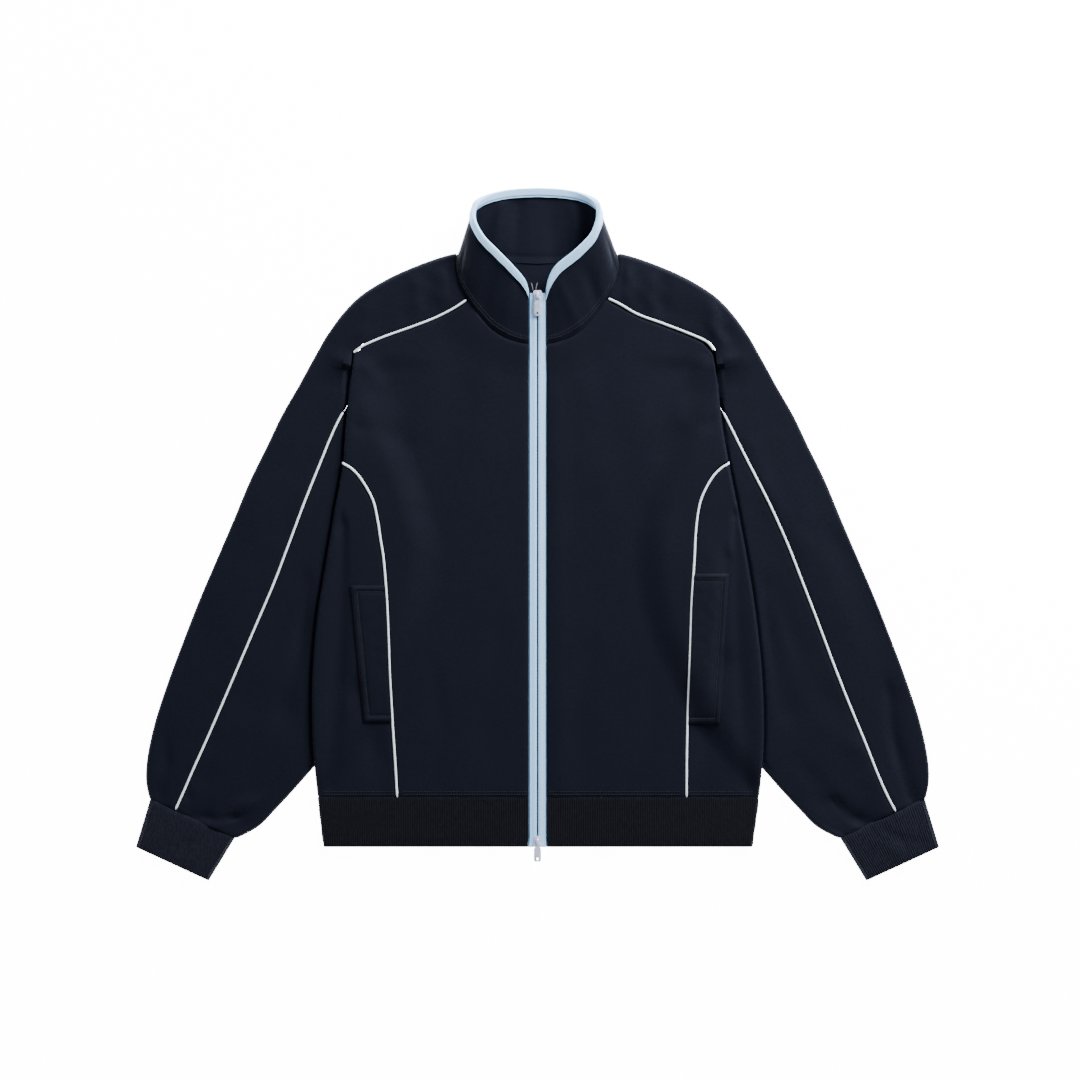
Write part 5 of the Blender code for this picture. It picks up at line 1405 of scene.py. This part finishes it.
def welt_stitch_path(grid):
    """A line inside the welt's bottom, outer and top edges."""
    far = edge_distances(grid)
    rows, columns = len(grid), len(grid[0])
    low = min(range(rows), key=lambda i: abs(far[i][0][2] - WELT_STITCH))
    high = min(range(rows), key=lambda i: abs(far[i][0][3] - WELT_STITCH))
    corner = [min(range(columns), key=lambda j: abs(far[i][j][1] - WELT_STITCH)) for i in range(rows)]
    path = [grid[low][j] for j in range(1, corner[low])]
    for i in range(low, high + 1):
        run, row = far[i], grid[i]
        j = max(k for k in range(columns - 1) if run[k][1] >= WELT_STITCH)
        share = (run[j][1] - WELT_STITCH) / (run[j][1] - run[j + 1][1])
        path.append(row[j].lerp(row[j + 1], share))
    return path + [grid[high][j] for j in range(corner[high] - 1, 0, -1)]


def add_tube(name, points, diameter, look):
    """A round cord as a mesh, along a list of points."""
    mesh = bmesh.new()
    rings = []
    for i, p in enumerate(points):
        ahead = (points[min(i + 1, len(points) - 1)] - points[max(i - 1, 0)]).normalized()
        side = ahead.cross(Vector((0, 0, 1))).normalized()
        up = side.cross(ahead)
        end = min(i, len(points) - 1 - i)
        radius = diameter / 2 * (0.35, 0.8, 1.0)[min(end, 2)]
        radius *= 1 + 0.03 * noise.noise(Vector((i * 0.35, 0.0, 9.0)))
        rings.append([mesh.verts.new(p + (side * math.cos(a) + up * math.sin(a)) * radius)
                      for a in turns(14)])
    skin(mesh, rings)
    return finish_piece(name, mesh, look)


def build_piping(side):
    """Piping cords in the three seams of one side."""
    lines = {"saddle_piping": [], "sleeve_piping": [], "side_piping": []}
    for step in refine(SADDLE_STEPS[:-1] + [0.985], 10):
        x, y = saddle_line(side, step)
        lines["saddle_piping"].append((SIDES[side] * x, y, body_top(side, x, y)))
    for t in refine([0.004] + SLEEVE_STEPS[1:-2], 14):
        x, y = sleeve_row(side, t)[1]
        lines["sleeve_piping"].append((SIDES[side] * x, y, sleeve_top(side, x, y, LAID)))
    for t in refine(SEAM_STEPS[:12] + [0.94], 14):
        lines["side_piping"].append(body_point(side, *seam_line(side, t)))
    for name, points in lines.items():
        points = [Vector(p) - Vector((0, 0, PIPING_SINK)) for p in points]
        piece = add_tube(name + "_cord_" + side, points, PIPING, piping_look)
        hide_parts(name + "_" + side)


# share of the stitch, height and girth of the thread
STITCH_FORM = ((0.0, -0.9, 0.5), (0.18, 0.2, 1.0), (0.5, 0.7, 1.0), (0.82, 0.2, 1.0),
               (1.0, -0.9, 0.5))


def stitch_line(name, path, pitch, look, thick=0.00032, rise=0.00012):
    """A row of sewn stitches: short rounded threads that dip at both ends."""
    runs = run_lengths(path)
    mesh = bmesh.new()

    def at(run):
        i = 0
        while i < len(runs) - 2 and runs[i + 1] < run:
            i += 1
        gap = max(runs[i + 1] - runs[i], 1e-9)
        return path[i].lerp(path[i + 1], min(max((run - runs[i]) / gap, 0.0), 1.0))

    up = Vector((0, 0, 1))
    for n in range(int(runs[-1] / pitch)):
        start = n * pitch
        rings = []
        for share, height, girth in STITCH_FORM:
            ahead = (at(start + pitch * 0.8) - at(start)).normalized()
            side = ahead.cross(up).normalized()
            centre = at(start + share * pitch * 0.80) + up * (rise + height * thick)
            rings.append([mesh.verts.new(
                centre + (side * math.cos(a) + up * math.sin(a)) * thick * girth)
                for a in turns(6)])
        skin(mesh, rings)
    return finish_piece(name, mesh, look)


def build_hem_stitches(side):
    """Two rows of coverstitch above the hem seam."""
    for row, y in enumerate((HEM_SEAM_Y + 0.0030, HEM_SEAM_Y + 0.0062)):
        path = [Vector(body_point(side, w, y)) for w in
                spread(160, FRONT_EDGE + 0.003, side_seam_girth(side, y) - 0.004)]
        stitch_line("hem_stitches_front_%s_%d" % (side, row), path, 0.0030, thread_look)
        path = [Vector(body_point(side, w, y)) for w in
                spread(60, side_seam_girth(side, y) + 0.004, body_edge(side, y) - 0.006)]
        stitch_line("hem_stitches_side_%s_%d" % (side, row), path, 0.0030, thread_look)


def build_collar_stitches():
    """Topstitching above the neck seam, and the binding's edge stitching on both sides; the inside row is
    dark thread as painted shade in the binding's step.
    """
    stations = [-0.985 + 1.97 * i / 300 for i in range(301)]
    for row, v in enumerate((0.075, 0.130)):
        path = [collar_surface(t, v) for t in stations]
        stitch_line("collar_stitches_%d" % row, path, 0.0030, thread_look)
    # The inside row uses dark thread: painted shade along the step at the binding's folded edge.
    for name, across, look in (("outside", BINDING_GAP + BINDING_WALL - 0.0004, pale_thread_look),
                               ("inside", -COLLAR_WALL - BINDING_GAP - BINDING_WALL, binding_step_shade_thread_look)):
        path = []
        for t in stations:
            normal, up = collar_normal(t, 0.99)
            path.append(collar_point(t, 1.0) + normal * across - up * binding_width(t) * 0.80)
        stitch_line("binding_stitches_" + name, path, 0.0026, look, 0.00040, 0.0)


def build_zip_ends():
    """The loose curled ends of both coils above the upper slider."""
    for side, sign in SIDES.items():
        points = []
        for i in range(9):
            run = i / 8
            points.append(Vector((-0.0036 + sign * (0.0016 + 0.0020 * run ** 1.5), 0.2765 + 0.0090 * run,
                                  zip_height(0.276) + 0.0008 + 0.0016 * math.sin(2.2 * run))))
        add_tube("zip_end_" + side, points, 0.0011, end_look)


# ---------------------------------------------------------------- materials
CLOTH_DARK, CLOTH_LIGHT = (0.0018, 0.0027, 0.0078, 1.0), (0.0032, 0.0044, 0.0116, 1.0)
WELT_DARK, WELT_LIGHT = (0.0018, 0.0027, 0.0074, 1.0), (0.0030, 0.0042, 0.0110, 1.0)
HEM_DARK, HEM_LIGHT = (0.0015, 0.0018, 0.0036, 1.0), (0.0038, 0.0043, 0.0084, 1.0)
# The cuffs' rib knit is the hem's, painted lighter: painted light for the light the cuffs catch.
CUFF_DARK, CUFF_LIGHT = (0.0034, 0.0042, 0.0088, 1.0), (0.0085, 0.0100, 0.0190, 1.0)
BLUE_DARK, BLUE_LIGHT = (0.31, 0.60, 1.0, 1.0), (0.43, 0.73, 1.0, 1.0)
# The zip coil is painted dark blue: painted shade for the narrow gap between the zip tapes.
COIL_DARK, COIL_LIGHT = (0.04, 0.08, 0.20, 1.0), (0.10, 0.16, 0.32, 1.0)
CORD_DARK, CORD_LIGHT = (0.74, 0.86, 0.98, 1.0), (0.86, 0.94, 1.0, 1.0)
METAL_DARK, METAL_LIGHT = (0.56, 0.60, 0.82, 1.0), (0.72, 0.76, 0.96, 1.0)


class Look:
    """A node material: a Principled shader and short calls for what feeds it."""

    def __init__(self, name, roughness, **sockets):
        self.material = bpy.data.materials.new(name)
        self.material.use_nodes = True
        self.tree = self.material.node_tree
        self.shader = self.tree.nodes["Principled BSDF"]
        self.shader.inputs["Roughness"].default_value = roughness
        for socket, value in sockets.items():
            self.shader.inputs[socket.replace("_", " ")].default_value = value
        self.places = self.tree.nodes.new("ShaderNodeTexCoord")
        self.height = None

    def link(self, source, target):
        self.tree.links.new(source, target)

    def node(self, kind, **inputs):
        node = self.tree.nodes.new("ShaderNode" + kind)
        for socket, value in inputs.items():
            node.inputs[socket.replace("_", " ")].default_value = value
        return node

    def textured(self, kind, mapping, **inputs):
        """A texture in object coordinates."""
        texture = self.node(kind, **inputs)
        self.link(self.places.outputs["Object"], mapping.inputs["Vector"])
        self.link(mapping.outputs["Vector"], texture.inputs["Vector"])
        return texture

    def noise(self, scale, detail=3.0, stretch=(1, 1, 1)):
        mapping = self.node("Mapping", Scale=stretch)
        return self.textured("TexNoise", mapping, Scale=scale, Detail=detail).outputs["Fac"]

    def bands(self, pitch, direction, distortion=0.4, turn=0.0):
        """Parallel yarns of one pitch, in metres."""
        mapping = self.node("Mapping", Rotation=(0.0, 0.0, turn))
        texture = self.textured("TexWave", mapping, Scale=2 * math.pi / (20.0 * pitch),
                                Distortion=distortion, Detail_Scale=3.0)
        texture.bands_direction = direction
        return texture.outputs["Fac"]

    def colour(self, source, dark, light, low=0.35, high=0.65):
        ramp = self.node("ValToRGB")
        ramp.color_ramp.elements[0].position, ramp.color_ramp.elements[0].color = low, dark
        ramp.color_ramp.elements[1].position, ramp.color_ramp.elements[1].color = high, light
        self.link(source, ramp.inputs["Fac"])
        self.link(ramp.outputs["Color"], self.shader.inputs["Base Color"])

    def roughness(self, source, low, high):
        span = self.node("MapRange", To_Min=low, To_Max=high)
        self.link(source, span.inputs["Value"])
        self.link(span.outputs["Result"], self.shader.inputs["Roughness"])

    def bump(self, source, depth, strength=0.5):
        """Add a relief of the given depth in metres on top of the ones before."""
        bump = self.node("Bump", Strength=strength, Distance=depth)
        self.link(source, bump.inputs["Height"])
        if self.height:
            self.link(self.height, bump.inputs["Normal"])
        self.height = bump.outputs["Normal"]
        self.link(self.height, self.shader.inputs["Normal"])


def knit_look(name, dark, light, pitch=0.0010, turn=0.0):
    """Smooth double knit: fine wales and courses, a soft brushed sheen and slight shade changes."""
    look = Look(name, 0.78, Sheen_Weight=0.05, Sheen_Roughness=0.42, Sheen_Tint=(0.45, 0.58, 0.95, 1.0),
                Specular_IOR_Level=0.10)
    look.colour(look.noise(420.0, 4.0), dark, light, 0.30, 0.72)
    look.roughness(look.noise(18.0, 2.0), 0.70, 0.84)
    look.bump(look.bands(pitch, "X", 0.6, turn), 0.00012, 0.35)
    look.bump(look.bands(pitch * 0.8, "Y", 0.8, turn), 0.00010, 0.30)
    look.bump(look.noise(1500.0, 3.0), 0.00010, 0.35)
    return look.material


def rib_knit_look(name, dark, light):
    look = Look(name, 0.86, Sheen_Weight=0.05, Sheen_Roughness=0.5, Sheen_Tint=(0.55, 0.60, 0.85, 1.0),
                Specular_IOR_Level=0.10)
    look.colour(look.noise(500.0, 4.0, (1, 0.4, 1)), dark, light, 0.30, 0.72)
    look.bump(look.bands(0.0011, "Y", 1.2), 0.00018, 0.4)
    look.bump(look.noise(1300.0, 3.0), 0.00012, 0.4)
    return look.material


def woven_look(name, dark, light, pitch, direction="Y", roughness=0.72, sheen=0.15):
    """A close plain weave: ribs across, yarns along and a little fuzz."""
    look = Look(name, roughness, Sheen_Weight=sheen, Sheen_Roughness=0.4, Specular_IOR_Level=0.35)
    look.colour(look.noise(650.0, 3.0), dark, light, 0.32, 0.68)
    look.bump(look.bands(pitch, direction, 0.2), 0.00016, 0.5)
    look.bump(look.bands(pitch * 0.8, "X" if direction == "Y" else "Y", 0.2), 0.00008, 0.35)
    look.bump(look.noise(1600.0, 2.0), 0.00006, 0.3)
    return look.material


def enamel_look():
    look = Look("lilac_grey_enamel", 0.34, Metallic=0.25, Coat_Weight=0.25, Coat_Roughness=0.2)
    look.colour(look.noise(260.0, 3.0), METAL_DARK, METAL_LIGHT, 0.3, 0.7)
    look.roughness(look.noise(700.0, 4.0), 0.28, 0.44)
    look.bump(look.noise(900.0, 3.0), 0.00004, 0.25)
    return look.material


# Coil nylon painted dark blue, as painted shade in the gap between the tapes.
def nylon_look():
    look = Look("coil_nylon_painted_shade", 0.38, Specular_IOR_Level=0.5)
    look.colour(look.noise(900.0, 2.0), COIL_DARK, COIL_LIGHT, 0.3, 0.7)
    look.bump(look.noise(1500.0, 2.0), 0.00004, 0.25)
    return look.material


def floor_look():
    look = Look("pale_floor", 0.9, Specular_IOR_Level=0.1, Emission_Color=(1.0, 1.0, 1.0, 1.0),
                Emission_Strength=14.0)
    look.colour(look.noise(3.0, 2.0), (0.93, 0.93, 0.93, 1.0), (0.95, 0.95, 0.95, 1.0), 0.3, 0.7)
    return look.material


THREAD_PITCH = 0.0004     # twist of the sewing threads
cloth_look = knit_look("navy_double_knit", CLOTH_DARK, CLOTH_LIGHT)
welt_look = knit_look("navy_double_knit_welt", WELT_DARK, WELT_LIGHT, 0.0010, math.radians(4))
rib_look = rib_knit_look("navy_rib_knit", HEM_DARK, HEM_LIGHT)
# The cuffs use the hem's rib knit painted lighter, as painted light.
cuff_painted_light_look = rib_knit_look("navy_rib_knit_painted_lighter", CUFF_DARK, CUFF_LIGHT)
binding_look = woven_look("pale_blue_binding_weave", BLUE_DARK, BLUE_LIGHT, 0.0009)
tape_look = woven_look("pale_blue_tape_weave", BLUE_DARK, BLUE_LIGHT, 0.0010)
piping_look = woven_look("pale_piping_weave", CORD_DARK, CORD_LIGHT, 0.0009, "Y", 0.55, 0.1)
coil_look = nylon_look()
metal_look = enamel_look()
end_look = woven_look("grey_coil_end", (0.10, 0.09, 0.11, 1.0), (0.20, 0.18, 0.21, 1.0), 0.0005)
thread_look = woven_look("navy_thread", (0.003, 0.004, 0.010, 1.0), (0.005, 0.007, 0.015, 1.0),
                         THREAD_PITCH, "X", 0.7, 0.03)
# Dark thread for the binding's inside stitching: painted shade for the step at the binding's folded edge.
binding_step_shade_thread_look = woven_look("binding_step_painted_shade_thread", (0.03, 0.06, 0.12, 1.0), (0.06, 0.11, 0.20, 1.0),
                               THREAD_PITCH, "X", 0.7, 0.05)
pale_thread_look = woven_look("pale_thread", (0.50, 0.64, 0.82, 1.0), (0.66, 0.78, 0.92, 1.0),
                              THREAD_PITCH, "X", 0.5, 0.1)


# ---------------------------------------------------------------- stage, light and camera
PIXEL = 0.00114           # metres of the laid garment for each pixel of the photograph
ZIP_COLUMN, ZERO_ROW = 537.5, 534.0
FRAME_PIXELS = 1080
LENS, SENSOR = 100.0, 36.0


def build_floor():
    mesh = bmesh.new()
    bmesh.ops.create_grid(mesh, x_segments=8, y_segments=8, size=3.0)
    data = bpy.data.meshes.new("floor")
    mesh.to_mesh(data)
    mesh.free()
    floor = bpy.data.objects.new("floor", data)
    bpy.context.scene.collection.objects.link(floor)
    data.materials.append(floor_look())
    floor.location = (0, 0, -0.0004)


def add_light(name, place, aim, size, power, colour=(1.0, 1.0, 1.0)):
    data = bpy.data.lights.new(name, "AREA")
    data.shape = "DISK"
    data.size, data.energy, data.color = size, power, colour
    lamp = bpy.data.objects.new(name, data)
    bpy.context.scene.collection.objects.link(lamp)
    lamp.location = place
    lamp.rotation_mode = "QUATERNION"
    lamp.rotation_quaternion = (Vector(aim) - Vector(place)).to_track_quat("-Z", "Y")


def light_scene():
    add_light("window", (1.5, 2.1, 1.25), (0.0, 0.0, 0.0), 1.1, 270.0, (1.0, 0.997, 0.99))
    add_light("fill", (-2.2, 0.6, 1.6), (0.0, 0.0, 0.0), 1.6, 24.0, (0.97, 0.985, 1.0))
    add_light("low_fill", (0.2, -2.6, 1.7), (0.0, 0.0, 0.0), 1.6, 10.0)
    world = bpy.data.worlds.new("studio")
    bpy.context.scene.world = world
    world.use_nodes = True
    back = world.node_tree.nodes["Background"]
    back.inputs["Color"].default_value = (1.0, 1.0, 1.0, 1.0)
    back.inputs["Strength"].default_value = 0.30


def place_camera():
    """Straight above, with the photograph's framing."""
    data = bpy.data.cameras.new("camera")
    data.lens, data.sensor_width = LENS, SENSOR
    width = FRAME_PIXELS * PIXEL
    camera = bpy.data.objects.new("camera", data)
    bpy.context.scene.collection.objects.link(camera)
    x = (FRAME_PIXELS / 2 - ZIP_COLUMN) * PIXEL
    y = (ZERO_ROW - FRAME_PIXELS / 2) * PIXEL
    camera.location = (x, y, width * LENS / SENSOR + LAID)
    camera.rotation_euler = (0.0, 0.0, 0.0)
    bpy.context.scene.camera = camera


# ---------------------------------------------------------------- build
place_camera()
build_floor()
light_scene()
build_back()
for side_name in SIDES:
    build_front(side_name)
    build_side(side_name)
    build_sleeve_upper(side_name)
    build_sleeve_under(side_name)
    build_cuff(side_name)
    build_tape(side_name)
    build_welt(side_name)
    build_piping(side_name)
    build_hem_stitches(side_name)
build_hem()
build_collar()
build_binding()
build_collar_stitches()
build_coil()
build_zip_ends()
SLIDER_SLOPE = math.atan2(zip_height(0.274) - zip_height(0.250), 0.024)
build_slider("slider_cast_upper", "slider_upper", UPPER_SLIDER_Y, SLIDER_SLOPE, True)
build_slider("slider_cast_lower", "slider_lower", LOWER_SLIDER_Y, 0.0, False)
build_pull("pull_tab_upper", "pull_upper", UPPER_PULL, UPPER_SLIDER_Y, SLIDER_SLOPE)
build_pull("pull_tab_lower", "pull_lower", LOWER_PULL, LOWER_SLIDER_Y, 0.0)
